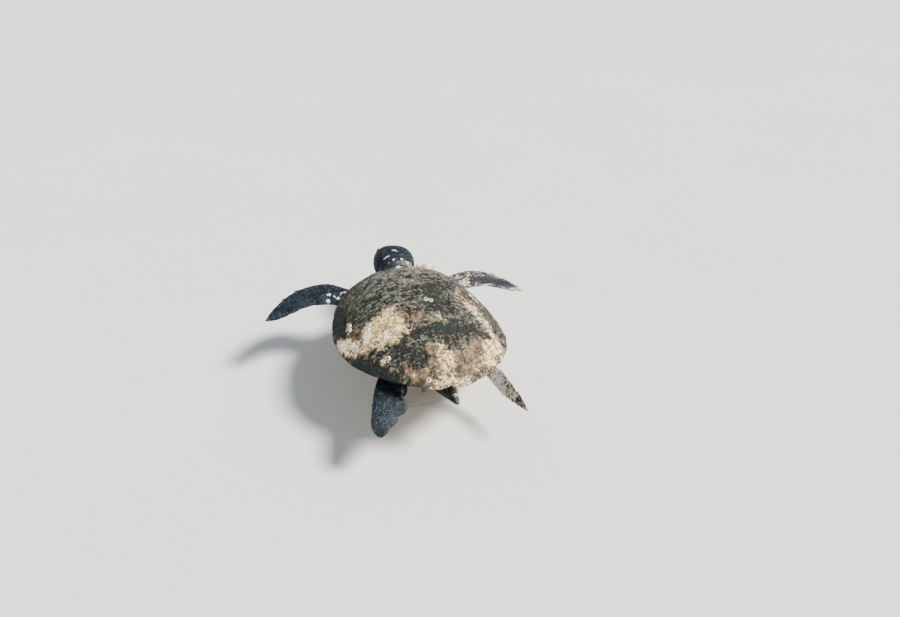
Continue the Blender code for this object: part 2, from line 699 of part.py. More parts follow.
FLIPPERS = {
    "flipper_front_left": dict(
        lead=((0.150, 0.322, -0.050), (0.212, 0.376, -0.050), (0.285, 0.434, -0.052),
              (0.371, 0.432, -0.059), (0.447, 0.396, -0.069), (0.514, 0.326, -0.082),
              (0.558, 0.262, -0.095)),
        trail=((0.150, 0.205, -0.062), (0.235, 0.248, -0.054), (0.315, 0.281, -0.057),
               (0.386, 0.284, -0.063), (0.449, 0.261, -0.073), (0.505, 0.246, -0.086),
               (0.553, 0.253, -0.098)),
        root=0.024, tip=0.0035, claws=(0.58, 0.72), claw_length=0.020),
    "flipper_front_right": dict(
        lead=((-0.150, 0.330, -0.048), (-0.225, 0.395, -0.044), (-0.320, 0.440, -0.041),
              (-0.410, 0.434, -0.041), (-0.474, 0.378, -0.038), (-0.512, 0.305, -0.033),
              (-0.533, 0.228, -0.029)),
        trail=((-0.150, 0.195, -0.055), (-0.225, 0.252, -0.038), (-0.300, 0.280, -0.028),
               (-0.371, 0.280, -0.025), (-0.427, 0.252, -0.024), (-0.475, 0.224, -0.024),
               (-0.525, 0.216, -0.027)),
        root=0.024, tip=0.0035, claws=(0.58, 0.72), claw_length=0.020),
    "flipper_hind_left": dict(
        lead=((0.150, -0.120, -0.050), (0.204, -0.210, -0.058), (0.236, -0.277, -0.072),
              (0.258, -0.350, -0.089), (0.271, -0.405, -0.107), (0.262, -0.433, -0.130)),
        trail=((0.060, -0.200, -0.060), (0.112, -0.262, -0.066), (0.128, -0.318, -0.076),
               (0.144, -0.372, -0.090), (0.186, -0.402, -0.112), (0.234, -0.432, -0.143)),
        root=0.022, tip=0.004, claws=(0.52, 0.70), claw_length=0.014),
    "flipper_hind_right": dict(
        lead=((-0.140, -0.105, -0.060), (-0.194, -0.190, -0.096), (-0.224, -0.262, -0.128),
              (-0.244, -0.318, -0.138), (-0.260, -0.380, -0.130), (-0.272, -0.440, -0.108)),
        trail=((-0.070, -0.150, -0.040), (-0.160, -0.222, -0.034), (-0.230, -0.275, -0.034),
               (-0.252, -0.330, -0.045), (-0.266, -0.388, -0.060), (-0.274, -0.452, -0.092)),
        root=0.020, tip=0.004, claws=(0.52, 0.70), claw_length=0.014),
}


def make_flippers():
    """Four flippers with two claws each."""
    made = []
    for name, spec in FLIPPERS.items():
        blade = make_flipper(name, spec["lead"], spec["trail"], spec["root"], spec["tip"])
        made.append(blade)
        for number, t in enumerate(spec["claws"], start=1):
            title = name.replace("flipper", "claw") + f"_{number}"
            nail = claw(title, spec["lead"], spec["trail"], t, spec["claw_length"] / number ** 0.4)
            cut(nail, clearance_copy(blade))
    return made


# ---------------------------------------------------------------- stand

def rounded_plate(name, size, corner, centre, material):
    """Flat plate with round corners and a small edge radius."""
    bm = bmesh.new()
    bmesh.ops.create_cube(bm, size=1.0)
    bmesh.ops.scale(bm, vec=size, verts=bm.verts)
    upright = [e for e in bm.edges if abs(e.verts[0].co.z - e.verts[1].co.z) > 0.5 * size[2]]
    bmesh.ops.bevel(bm, geom=upright, offset=corner, segments=5, profile=0.5, affect="EDGES")
    top = [e for e in bm.edges if min(v.co.z for v in e.verts) > 0.49 * size[2]]
    bmesh.ops.bevel(bm, geom=top, offset=STAND_EDGE, segments=1, profile=0.5, affect="EDGES")
    bmesh.ops.translate(bm, verts=bm.verts, vec=centre)
    return add_object(name, bm, None, material, smooth_angle=30.0)


def make_stand():
    """Base plate, two rods, and a small pad under the plastron at the head of each rod."""
    base_height = STAND_BASE_SIZE[2]
    rounded_plate("stand_base", STAND_BASE_SIZE, STAND_BASE_CORNER,
                  (0.0, STAND_BASE_Y, base_height / 2.0), MATERIALS["stand"])
    for word, y in STAND_RODS.items():
        lowest = min(belly(x, -y + dy) for x in (0.0, 0.03) for dy in (-0.04, 0.0, 0.04))
        top = lowest - PLASTRON_THICKNESS - GAP
        pad = rounded_plate(f"stand_pad_{word}", STAND_PAD_SIZE, STAND_PAD_CORNER,
                            (0.0, y, top - STAND_PAD_SIZE[2] / 2.0), MATERIALS["steel"])
        pad.parent = BODY
        bm = bmesh.new()
        foot = Matrix.Translation((0.0, 0.0, base_height + GAP + RIDE_HEIGHT / 2.0))
        bmesh.ops.create_cone(bm, cap_ends=True, segments=24, radius1=STAND_ROD_RADIUS,
                              radius2=STAND_ROD_RADIUS, depth=RIDE_HEIGHT, matrix=foot)
        sideways = BODY.matrix_basis @ Vector((0.0, y, top))
        bmesh.ops.translate(bm, verts=bm.verts, vec=(sideways.x, y, 0.0))
        rod = add_object(f"stand_rod_{word}", bm, None, MATERIALS["steel"])
        block = bmesh.new()
        bmesh.ops.create_cube(block, size=0.4, matrix=Matrix.Translation(
            (0.0, y, top - STAND_PAD_SIZE[2] - GAP + 0.2)))
        above = move_to_cutters(add_object(f"above_pad_{word}", block, BODY, MATERIALS["steel"]))
        cut(rod, above)


# ---------------------------------------------------------------- the turtle

def part_limbs(trunk, plastron, skull, neck, tail, flippers):
    """Thin cuts where the limbs grow from the trunk or pass the plastron."""
    for limb in [*flippers, neck, tail]:
        cut(limb, clearance_copy(trunk))
    for limb in (neck, tail):
        cut(limb, clearance_copy(plastron))
    cut(plastron, clearance_copy(trunk))
    cut(neck, clearance_copy(skull))


clear_scene()
PART = new_collection("loggerhead_turtle")
CUTTERS = new_collection("cutters")
MATERIALS = {
    "skin": new_material("skin", SKIN, 0.55),
    "shell": new_material("shell", SHELL, 0.70),
    "belly": new_material("belly", BELLY, 0.55),
    "horn": new_material("horn", HORN, 0.40),
    "eye": new_material("eye", EYE, 0.08),
    "stand": new_material("stand_paint", STAND_PAINT, 0.45),
    "steel": new_material("stand_steel", STAND_STEEL, 0.35, 1.0),
}

BODY = bpy.data.objects.new("pose", None)
BODY.location = (0.0, 0.0, RIDE_HEIGHT)
BODY.rotation_euler = Euler((0.0, BANK, 0.0))
PART.objects.link(BODY)
HEAD = bpy.data.objects.new("head_hinge", None)
HEAD.parent = BODY
HEAD.location = HEAD_HINGE
HEAD.rotation_euler = Euler((HEAD_TILT, 0.0, -HEAD_TURN))
PART.objects.link(HEAD)

make_vertebrals()
make_costals()
make_marginals()
TRUNK = make_trunk()
PLASTRON = make_plastron()
SKULL = make_head()
NECK = make_neck()
TAIL = make_tail()
LIMBS = make_flippers()
part_limbs(TRUNK, PLASTRON, SKULL, NECK, TAIL, LIMBS)
make_stand()
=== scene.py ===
# %% [markdown]
# # A life-size loggerhead turtle on its display stand
# The packed solids fix every place and size.  This script dresses them: weathered shell
# plates, one skin for all the flesh, a horny beak, eyes, claws, barnacles and the stand.
# Everything on the turtle is made level, in its own frame (x to its left, y towards the
# tail, z up), and one matrix then banks it and lifts it on to the stand.

# %% Load the packed model
import math

import bpy
import numpy as np
from mathutils.bvhtree import BVHTree
from mathutils import Euler, Matrix, Vector, noise


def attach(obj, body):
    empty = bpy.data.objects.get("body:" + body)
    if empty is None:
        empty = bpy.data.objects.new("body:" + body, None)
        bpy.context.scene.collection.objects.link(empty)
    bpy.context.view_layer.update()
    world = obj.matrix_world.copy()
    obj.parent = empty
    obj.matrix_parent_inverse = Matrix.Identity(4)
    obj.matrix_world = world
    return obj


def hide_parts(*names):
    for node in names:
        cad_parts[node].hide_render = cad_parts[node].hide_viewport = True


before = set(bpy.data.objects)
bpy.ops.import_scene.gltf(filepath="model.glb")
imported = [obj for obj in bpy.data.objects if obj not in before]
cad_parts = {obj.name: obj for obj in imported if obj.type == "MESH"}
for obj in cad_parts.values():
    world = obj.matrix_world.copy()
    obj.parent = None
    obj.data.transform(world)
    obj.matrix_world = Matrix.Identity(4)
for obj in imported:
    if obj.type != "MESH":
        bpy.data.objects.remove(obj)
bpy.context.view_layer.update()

RIDE_HEIGHT = 0.290
BANK = math.radians(-5.9)
POSE = Matrix.LocRotScale(Vector((0.0, 0.0, RIDE_HEIGHT)), Euler((0.0, BANK, 0.0)), None)

# %% [markdown]
# ## Camera
# The turtle is seen from behind and above, a little from its left, as a diver would from
# the surface.  The camera looks past the turtle, so that it sits left of the middle.

# %% Place the camera
CAMERA_PLACE = Vector((0.508, 1.969, 1.420 + RIDE_HEIGHT))
CAMERA_HEADING = math.radians(162.353)
CAMERA_DIP = math.radians(33.602)
CAMERA_LENS, SENSOR_WIDTH = 26.0, 36.0

lens = bpy.data.cameras.new("camera")
lens.lens, lens.sensor_width = CAMERA_LENS, SENSOR_WIDTH
camera = bpy.data.objects.new("camera", lens)
camera.location = CAMERA_PLACE
gaze = Vector((-math.sin(CAMERA_HEADING) * math.cos(CAMERA_DIP),
               math.cos(CAMERA_HEADING) * math.cos(CAMERA_DIP), -math.sin(CAMERA_DIP)))
camera.rotation_euler = gaze.to_track_quat("-Z", "Y").to_euler()
bpy.context.scene.collection.objects.link(camera)
bpy.context.scene.camera = camera
print("camera looks along", tuple(round(v, 3) for v in gaze))

# %% [markdown]
# ## Meshes from arrays
# Most pieces are grids of points: a plate is one sheet over another, a flipper is a row of
# rings.  Working out whole grids with NumPy is quicker than moving single vertices, and
# the same few helpers turn any grid into a closed mesh that faces outwards.

# %% Grid helpers
def grid_faces(rows, cols, ring=False, hoop=False):
    """Quads of a grid; a ring's last column meets its first, and a hoop's last row too."""
    i, j = np.meshgrid(np.arange(rows if hoop else rows - 1), np.arange(cols if ring else cols - 1),
                       indexing="ij")
    k, m = (j + 1) % cols, (i + 1) % rows
    return np.stack([i * cols + j, i * cols + k, m * cols + k, m * cols + j], -1).reshape(-1, 4)


def loft_faces(rows, cols):
    """Quads round a row of rings, and one face over each end."""
    ends = [list(range(cols))[::-1], list(range((rows - 1) * cols, rows * cols))]
    return grid_faces(rows, cols, ring=True).tolist() + ends


def hoop_faces(rows, cols):
    """Quads of a tube that closes on itself."""
    return grid_faces(rows, cols, ring=True, hoop=True).tolist()


def slab_faces(rows, cols):
    """Closed slab: a grid, the same grid beneath it, and a strip round the border."""
    count = rows * cols
    top = grid_faces(rows, cols)
    index = np.arange(count).reshape(rows, cols)
    edge = np.concatenate([index[0, :-1], index[:-1, -1], index[-1, :0:-1], index[:0:-1, 0]])
    ahead = np.roll(edge, -1)
    strip = np.stack([ahead, edge, edge + count, ahead + count], -1)
    return np.concatenate([top, top[:, ::-1] + count, strip]).tolist()


print("faces of a closed slab of 3 by 3 points:", len(slab_faces(3, 3)))


# %% Pieces from grids
def add_piece(name, points, faces, values=None, place=None):
    """Smooth mesh that faces outwards, with one number or vector per point.

    Without a place of its own, its points are in the turtle's frame and move to the pose."""
    points = np.asarray(points, float).reshape(-1, 3)
    if place is None:
        points = points @ np.array(POSE)[:3, :3].T + np.array(POSE)[:3, 3]
    corners = np.array([face[:3] for face in faces])
    a, b, c = (points[corners[:, k]] - points.mean(0) for k in range(3))
    if np.einsum("ij,ij->i", a, np.cross(b, c)).sum() < 0:
        faces = [face[::-1] for face in faces]
    mesh = bpy.data.meshes.new(name)
    mesh.from_pydata(points.tolist(), [], faces)
    mesh.shade_smooth()
    for key, numbers in (values or {}).items():
        kind, field = ("FLOAT", "value") if numbers.size == len(points) else ("FLOAT_VECTOR", "vector")
        mesh.attributes.new(key, kind, "POINT").data.foreach_set(field, numbers.ravel())
    piece = bpy.data.objects.new(name, mesh)
    piece.matrix_world = place or Matrix.Identity(4)
    bpy.context.scene.collection.objects.link(piece)
    return piece


def add_loft(name, rings, values=None, place=None):
    """Closed piece from a row of rings."""
    return add_piece(name, rings, loft_faces(*rings.shape[:2]), values, place)


def add_slab(name, top, bottom, values):
    """Closed piece between two grids that share their values."""
    points = np.concatenate([top.reshape(-1, 3), bottom.reshape(-1, 3)])
    both = {key: np.concatenate([each.reshape(-1, *each.shape[2:])] * 2) for key, each in values.items()}
    return add_piece(name, points, slab_faces(*top.shape[:2]), both)


def stand_for(piece, slot, *nodes):
    """Let a piece ride on the body and replace its solids; the slot is not used."""
    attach(piece, "root")
    if nodes:
        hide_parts(*nodes)


print("pose of the turtle:", [tuple(round(v, 3) for v in row) for row in POSE])


# %% Vectors, noise and curves
def unit(vectors):
    """Vectors of length one."""
    return vectors / np.linalg.norm(vectors, axis=-1, keepdims=True)


def ring_normals(points):
    """Outward unit normals of a row of rings."""
    across = (np.roll(points, -1, 1) - np.roll(points, 1, 1)) / 2.0
    normals = np.cross(np.gradient(points, axis=0), across)
    normals = normals / np.maximum(np.linalg.norm(normals, axis=-1, keepdims=True), 1e-9)
    offset = points - points.mean(1, keepdims=True)
    return normals * np.sign(np.einsum("ijk,ijk->ij", normals, offset))[..., None]


def turns(count):
    """Angles spaced evenly round a circle."""
    return np.linspace(0.0, 2.0 * np.pi, count, endpoint=False)


def lumps(points, scale, octaves=4):
    """Fractal noise between about -1 and 1 at each point."""
    flat = (np.asarray(points, float) * scale).reshape(-1, 3)
    found = [noise.fractal(Vector(p), 1.0, 2.1, octaves) for p in flat]
    return np.array(found).reshape(np.shape(points)[:-1])


def smooth(value, low, high):
    """0 below low, 1 above high, with a soft step between."""
    share = np.clip((value - low) / (high - low), 0.0, 1.0)
    return share * share * (3.0 - 2.0 * share)


def through(points, t):
    """Places at t = 0..1 on a smooth Catmull-Rom curve through the given points."""
    points, t = np.asarray(points, float), np.asarray(t, float)
    last = len(points) - 1
    index = np.minimum((t * last).astype(int), last - 1)
    u = (t * last - index).reshape(t.shape + (1,) * (points.ndim - 1))
    a, b, c, d = (points[np.clip(index + k, 0, last)] for k in (-1, 0, 1, 2))
    return (2 * b + (c - a) * u + (2 * a - 5 * b + 4 * c - d) * u ** 2
            + (3 * b - a - 3 * c + d) * u ** 3) / 2.0


print("half way through 0, 1, 4:", through([0.0, 1.0, 4.0], 0.5))

# %% [markdown]
# ## Shape of the shell
# A turtle's shell is a low dome on a heart-shaped rim.  The same formulas made the solids,
# so the finer plates here fit them: a width for each station along the body, a height for
# the ridge, and a curve that falls from the ridge to the rim.  'fore' is the distance
# ahead of mid-shell.

# %% Shell formulas
SHELL_FRONT, SHELL_REAR, SHELL_HALF_WIDTH = 0.3905, -0.408, 0.329
SHELL_MIDDLE = (SHELL_FRONT + SHELL_REAR) / 2.0
SHELL_HALF_LENGTH = (SHELL_FRONT - SHELL_REAR) / 2.0
CROWN_HEIGHT, CROWN_FORE = 0.1447, 0.0526
CROWN_FRONT_REACH, CROWN_REAR_REACH = 0.3526, 0.4606
FLANK_POWER = 2.17
RIM_SAG, REAR_FLARE = 0.0326, 0.0122
FLARE_START, FLARE_LENGTH = -0.163, 0.245
NAPE_ARCH, NAPE_HALF_WIDTH, NAPE_POWER = 0.016, 0.110, 6
RIM_INSET, RIM_LIP, RIM_UNDERCUT, RIM_DEPTH = 0.86, 0.005, 0.012, 0.018


def falloff(distance, reach, power, root):
    """1 at no distance, falling to 0 at the reach."""
    share = np.minimum(np.abs(distance / reach), 1.0)
    return (1.0 - share ** power) ** root


def half_width(fore):
    """Half the shell's width at a station: blunt ahead, pointed at the tail."""
    ahead = falloff(fore, SHELL_FRONT, 1.72, 0.352)
    return SHELL_HALF_WIDTH * np.where(fore >= 0.0, ahead, falloff(fore, SHELL_REAR, 2.23, 0.807))


def crown(fore):
    """Height of the ridge line over the rim."""
    ahead = fore - CROWN_FORE
    front = falloff(ahead, CROWN_FRONT_REACH, 2.58, 1.04)
    return CROWN_HEIGHT * np.where(ahead >= 0.0, front, falloff(ahead, CROWN_REAR_REACH, 1.724, 0.986))


def rim_height(fore, side):
    """Drop of the rim along the flanks and its lift towards the tail."""
    flare = REAR_FLARE * np.maximum(0.0, (FLARE_START - fore) / FLARE_LENGTH)
    return flare - RIM_SAG * (1.0 - (fore / SHELL_REAR) ** 2) * side ** 2


def dome(x, fore):
    """Height of the shell's outer surface."""
    side = np.minimum(np.abs(x) / np.maximum(half_width(fore), 1e-6), 1.0)
    arch = NAPE_ARCH * np.maximum(0.0, 1.0 - (x / NAPE_HALF_WIDTH) ** 2) * side ** 2
    arch = arch * np.maximum(0.0, fore / SHELL_FRONT) ** NAPE_POWER
    return crown(fore) * (1.0 - side ** FLANK_POWER) + rim_height(fore, side) + arch


def rim(w, inset=1.0):
    """Plan place (x, fore) on the left rim at w = 0 (front) to 1 (tail), shrunk by the inset."""
    fore = SHELL_MIDDLE + SHELL_HALF_LENGTH * np.cos(np.pi * np.asarray(w, float))
    return np.stack([half_width(fore) * inset, SHELL_MIDDLE + (fore - SHELL_MIDDLE) * inset], -1)


print("shell", round(2 * SHELL_HALF_LENGTH, 3), "m long,", 2 * SHELL_HALF_WIDTH, "m wide")

# %% [markdown]
# ## What grows on the shell, and painted shade and light
# Old loggerheads carry sediment, pale encrusting growth, dark turf and a thin grey film of
# silt.  A few soft ovals say where each lies; two 'dark' ovals along the left rim are painted
# shade of the flank turned from the light, and one 'pale' oval on the right flank is a
# painted highlight.  The meshes swell a little under the pale growth, and the material breaks
# the same ovals up with noise, so relief and colour agree without any picture.

# %% Growth on the shell, with painted shade and a painted highlight
# Each oval: x, fore, half length, half width, lean in degrees from the x axis, strength
GROWTH = {
    "pale": (
        (0.140, -0.135, 0.054, 0.046, 15.0, 0.92), (0.165, -0.068, 0.052, 0.030, -20.0, 0.85),
        (0.200, -0.150, 0.062, 0.030, 35.0, 0.65), (0.228, -0.096, 0.045, 0.014, 100.0, 1.15),
        (0.288, -0.100, 0.062, 0.022, 62.0, 1.08), (0.277, -0.018, 0.027, 0.009, 96.0, 1.20),
        (0.312, -0.058, 0.030, 0.010, 80.0, 0.60), (0.190, -0.236, 0.015, 0.012, 0.0, 0.90),
        (-0.165, -0.040, 0.075, 0.026, 72.0, 0.62), (-0.215, -0.100, 0.090, 0.022, 75.0, 0.52),
        (-0.203, -0.236, 0.078, 0.034, -50.0, 0.90), (-0.115, -0.330, 0.060, 0.024, -32.0, 0.40),
        (-0.005, -0.318, 0.074, 0.027, 86.0, 0.80), (-0.010, -0.390, 0.110, 0.014, 0.0, 0.60),
        (0.062, -0.352, 0.055, 0.026, 28.0, 0.36), (0.033, 0.247, 0.014, 0.012, 0.0, 0.90),
        # The oval at x -0.222 on the next line is a painted highlight on the lit right flank.
        (0.040, 0.085, 0.032, 0.020, 0.0, 0.20), (-0.222, 0.050, 0.055, 0.014, 80.0, 0.60),
        (-0.040, 0.200, 0.090, 0.050, 0.0, 0.22),
        (-0.020, -0.130, 0.040, 0.018, 15.0, 0.34), (-0.015, 0.215, 0.050, 0.032, 0.0, 0.22),
        (-0.318, 0.070, 0.070, 0.010, 96.0, 0.85), (-0.322, -0.040, 0.060, 0.010, 88.0, 0.85),
    ),
    "dark": (
        (-0.035, -0.045, 0.090, 0.055, 80.0, 1.00), (0.160, 0.040, 0.070, 0.042, 0.0, 0.80),
        (-0.080, 0.060, 0.065, 0.050, 0.0, 0.55), (0.020, -0.190, 0.125, 0.028, 5.0, 1.00),
        (-0.130, -0.172, 0.085, 0.028, 0.0, 0.80), (0.140, -0.238, 0.095, 0.030, 25.0, 0.80),
        # Both ovals on the next line lie along the left rim, the flank turned from the light: they are
        # painted shade.
        (0.262, -0.205, 0.110, 0.020, 57.0, 1.10), (0.300, 0.070, 0.120, 0.032, 95.0, 1.20),
        (0.190, -0.295, 0.085, 0.022, 40.0, 0.90), (0.040, 0.020, 0.050, 0.030, 0.0, 0.50),
        (-0.305, -0.120, 0.120, 0.016, 75.0, 0.65), (-0.150, 0.120, 0.080, 0.050, 120.0, 0.45),
        (0.248, -0.125, 0.014, 0.008, 80.0, 1.20), (0.290, -0.034, 0.022, 0.009, 96.0, 1.10),
        (0.080, -0.285, 0.050, 0.026, 10.0, 0.50), (-0.060, -0.250, 0.045, 0.020, 0.0, 0.45),
        (0.150, -0.180, 0.040, 0.014, 25.0, 0.45), (0.120, 0.280, 0.080, 0.050, 60.0, 0.50),
    ),
    "warm": (
        (0.000, -0.330, 0.140, 0.075, 0.0, 0.95), (-0.190, -0.240, 0.100, 0.055, -47.0, 0.80),
        (0.175, -0.125, 0.088, 0.075, 20.0, 0.75), (0.095, -0.030, 0.070, 0.045, 0.0, 0.05),
        (0.285, -0.100, 0.080, 0.040, 60.0, 0.80), (-0.010, 0.180, 0.100, 0.060, 0.0, 0.22),
        (-0.160, 0.000, 0.080, 0.040, 70.0, 0.50), (0.040, -0.130, 0.060, 0.030, 0.0, 0.25),
    ),
    "film": (
        (-0.020, 0.160, 0.190, 0.110, 0.0, 0.25), (0.150, 0.130, 0.120, 0.110, 0.0, 0.29),
        (0.105, 0.245, 0.080, 0.034, -25.0, 0.20), (0.085, -0.010, 0.080, 0.050, 10.0, 0.24),
        (-0.150, 0.110, 0.100, 0.080, 0.0, 0.12), (0.020, -0.110, 0.070, 0.040, 0.0, 0.16),
        (-0.120, -0.100, 0.060, 0.050, 0.0, 0.12), (0.060, -0.240, 0.070, 0.030, 0.0, 0.16),
    ),
}


def growth(x, fore, ovals):
    """How strongly the ovals cover each place, about 0 to 1."""
    total = np.zeros(np.shape(x))
    for at_x, at_fore, long, wide, lean, strength in ovals:
        turn = math.radians(lean)
        along = (x - at_x) * math.cos(turn) + (fore - at_fore) * math.sin(turn)
        across = (fore - at_fore) * math.cos(turn) - (x - at_x) * math.sin(turn)
        total += strength * np.exp(-((along / long) ** 2 + (across / wide) ** 2) ** 1.5 * 0.7)
    return np.clip(total, 0.0, 1.3)


def growth_values(x, fore):
    """The weathering values, with the painted shade and highlight among them, that the shell's finish reads.
    """
    return {key: growth(x, fore, ovals) for key, ovals in GROWTH.items()}


print("ovals:", {key: len(ovals) for key, ovals in GROWTH.items()})

# %% [markdown]
# ## Shell plates
# Five plates follow the ridge and five lie on each flank, each a sheet of horn over bone.
# Every plate is a Coons patch: a grid that blends its four curved borders.  The borders
# dip into narrow grooves, and the middle swells.  A subdivided low model would round the
# corners away, so the grid is simply made fine enough for the growth on it.

# %% Seams between the plates
RIM_SEAMS = (0.033, 0.078, 0.235, 0.377, 0.520, 0.671, 0.790, 0.870)
VERTEBRAL_SEAMS = (0.225, 0.075, -0.080, -0.225)
VERTEBRAL_HALF_WIDTHS = (0.078, 0.078, 0.073, 0.062)
CORNER_HALF_WIDTHS = (0.095, 0.100, 0.098, 0.088)
CELLS_LONG, CELLS_WIDE = 56, 48
SEAM_GAP, SEAM_GAP_REACH = 0.0002, 0.003
PLATE_THICKNESS = 0.007
PLATE_SWELL = 0.0025
KEEL_HEIGHT, KEEL_HALF_WIDTH = 0.004, 0.030
GROOVE_DEPTH, GROOVE_WIDTH = 0.0013, 0.0030
RING_DEPTH, RING_SPACING, RING_WAVER = 0.00022, 0.0036, 1.5
RING_FADE, WEATHER_FADE = (0.004, 0.015), 0.006
GRAIN_ALONG, GRAIN_ACROSS, GRAIN_APART = 26.0, 3.0, 7.3
DENT_DEPTH, CRUST_HEIGHT, TURF_HEIGHT = 0.0009, 0.0014, 0.0007

flip_x = np.array([-1.0, 1.0])


def line(start, end, count):
    """Evenly spaced plan points on a straight seam."""
    t = np.linspace(0.0, 1.0, count + 1)[:, None]
    return np.asarray(start) * (1.0 - t) + np.asarray(end) * t


def rim_run(start, end, count):
    """Plan points along the seam between the marginals and the inner plates."""
    return rim(np.linspace(start, end, count + 1), RIM_INSET)


def rim_arc(start, end):
    """Plan points along that seam from the right side to the left, at the front or the tail."""
    run = rim_run(start, end, CELLS_WIDE // 2)
    return np.concatenate([(run * flip_x)[:0:-1], run])


def bent(start, corner, end, count):
    """Seam with one corner half way."""
    return np.concatenate([line(start, corner, count // 2)[:-1], line(corner, end, count // 2)])


seam_ends = np.concatenate([[rim(RIM_SEAMS[0], RIM_INSET)],
                            np.array([VERTEBRAL_HALF_WIDTHS, VERTEBRAL_SEAMS]).T,
                            [rim(RIM_SEAMS[7], RIM_INSET)]])
seam_corners = (seam_ends[:-1] + seam_ends[1:]) / 2.0
seam_corners[:4, 0] = CORNER_HALF_WIDTHS
print("vertebral seams at", seam_ends[:, 1].round(3))


# %% One plate
def coons(inner, outer, front, rear):
    """Grid of plan points between four seams, rows from front to rear."""
    u = np.linspace(0.0, 1.0, len(front))[None, :, None]
    v = np.linspace(0.0, 1.0, len(inner))[:, None, None]
    across = inner[:, None] * (1 - u) + outer[:, None] * u
    along = front[None] * (1 - v) + rear[None] * v
    corners = (front[0] * (1 - u) + front[-1] * u) * (1 - v) + (rear[0] * (1 - u) + rear[-1] * u) * v
    return across + along - corners


def weathering(x, fore, height):
    """Roughness of an old shell: broad dents, crusts where growth is pale, fine turf."""
    place = np.stack([x, fore, height], -1)
    pale = growth(x, fore, GROWTH["pale"])
    crust = np.maximum(0.0, lumps(place, 55.0, 4) + 0.15)
    relief = DENT_DEPTH * lumps(place, 11.0, 3) + CRUST_HEIGHT * pale * crust
    return relief + TURF_HEIGHT * lumps(place, 95.0, 3)


def border_distance(rows):
    """Distance of each grid point from the plate's border, in metres."""
    v, u = np.meshgrid(np.linspace(0, 1, rows.shape[0]), np.linspace(0, 1, rows.shape[1]), indexing="ij")
    wide = np.linalg.norm(rows[:, -1] - rows[:, 0], axis=-1)[:, None]
    long = np.linalg.norm(rows[-1] - rows[0], axis=-1)[None, :]
    return np.minimum(np.minimum(u, 1 - u) * wide, np.minimum(v, 1 - v) * long), u, v


def make_plate(name, rows, number, keel=0.0):
    """Closed horn plate on the dome, with a groove at its border and weathering on top."""
    distance, u, v = border_distance(rows)
    pull = SEAM_GAP * np.exp(-distance / SEAM_GAP_REACH)[..., None]
    rows = rows + unit(rows.mean((0, 1)) - rows) * pull
    x, fore = rows[..., 0], rows[..., 1]
    height = dome(x, fore)
    swell = PLATE_SWELL * np.sin(np.pi * u) * np.sin(np.pi * v)
    ridge = keel * v * np.maximum(0.0, 1.0 - np.abs(x) / KEEL_HALF_WIDTH)
    ridge = ridge * np.sin(np.pi * np.minimum(v, 0.9))
    groove = GROOVE_DEPTH * np.exp(-(distance / GROOVE_WIDTH) ** 2)
    waver = RING_WAVER * lumps(np.stack([x, fore, height], -1), 9.0, 2)
    ring = RING_DEPTH * np.sin(distance / RING_SPACING + waver)
    top = height + swell + ridge - groove + ring * smooth(distance, *RING_FADE)
    top = top + weathering(x, fore, height) * smooth(distance, 0.0, WEATHER_FADE)
    upper = np.stack([x, -fore, top], -1)
    lower = np.stack([x, -fore, height - PLATE_THICKNESS], -1)
    grain = np.stack([v * GRAIN_ALONG, u * GRAIN_ACROSS, np.full_like(u, number * GRAIN_APART)], -1)
    return add_slab(name, upper, lower, {**growth_values(x, fore), "border": distance, "grain": grain})


print("points in a plate:", 2 * (CELLS_LONG + 1) * (CELLS_WIDE + 1))


# %% The ridge and flank plates
shell_pieces = []


def keep_shell(piece, node):
    """Let a shell piece replace its solid, and list it for what comes later."""
    stand_for(piece, "shell", node)
    shell_pieces.append(piece)


crossings = [line(end * flip_x, end, CELLS_WIDE) for end in seam_ends]
crossings[0], crossings[5] = rim_arc(0.0, RIM_SEAMS[0]), rim_arc(1.0, RIM_SEAMS[7])
for k in range(5):
    left = bent(seam_ends[k], seam_corners[k], seam_ends[k + 1], CELLS_LONG)
    rows = coons(left * flip_x, left, crossings[k], crossings[k + 1])
    keep_shell(make_plate(f"ridge_plate_{k + 1}", rows, k, KEEL_HEIGHT), f"vertebral_{k + 1}")

inner_runs = [line(seam_ends[0], seam_corners[0], CELLS_LONG)]
inner_runs += [bent(seam_corners[k - 1], seam_ends[k], seam_corners[k], CELLS_LONG) for k in range(1, 4)]
inner_runs.append(bent(seam_corners[3], seam_ends[4], seam_ends[5], CELLS_LONG))
outer_runs = [rim_run(a, b, CELLS_LONG) for a, b in zip(RIM_SEAMS[1:6], RIM_SEAMS[2:7])]
cross_runs = [rim_run(RIM_SEAMS[0], RIM_SEAMS[1], CELLS_WIDE)]
cross_runs += [line(inner_runs[k][-1], outer_runs[k][-1], CELLS_WIDE) for k in range(4)]
cross_runs.append(rim_run(RIM_SEAMS[7], RIM_SEAMS[6], CELLS_WIDE))
for k in range(5):
    rows = coons(inner_runs[k], outer_runs[k], cross_runs[k], cross_runs[k + 1])
    for word, laid in (("left", rows), ("right", (rows * flip_x)[:, ::-1])):
        flank_plate = make_plate(f"flank_plate_{word}_{k + 1}", laid, 10 + 2 * k + (word == "left"))
        keep_shell(flank_plate, f"costal_{word}_{k + 1}")
print("plates:", len(shell_pieces), "faces each:", len(shell_pieces[0].data.polygons))

# %% [markdown]
# ## Edge plates
# The rim is a ring of small plates, wedge-shaped in section, whose outer edges are cut
# into shallow scallops towards the tail.  A wedge swept round the rim makes them all at
# once: the section's corner points are rounded by a spline, and each plate's border sinks
# into a groove.  Over the tail the rim is notched, and there the whole section draws back
# in proportion, as cutting its edge alone would fold it over itself.

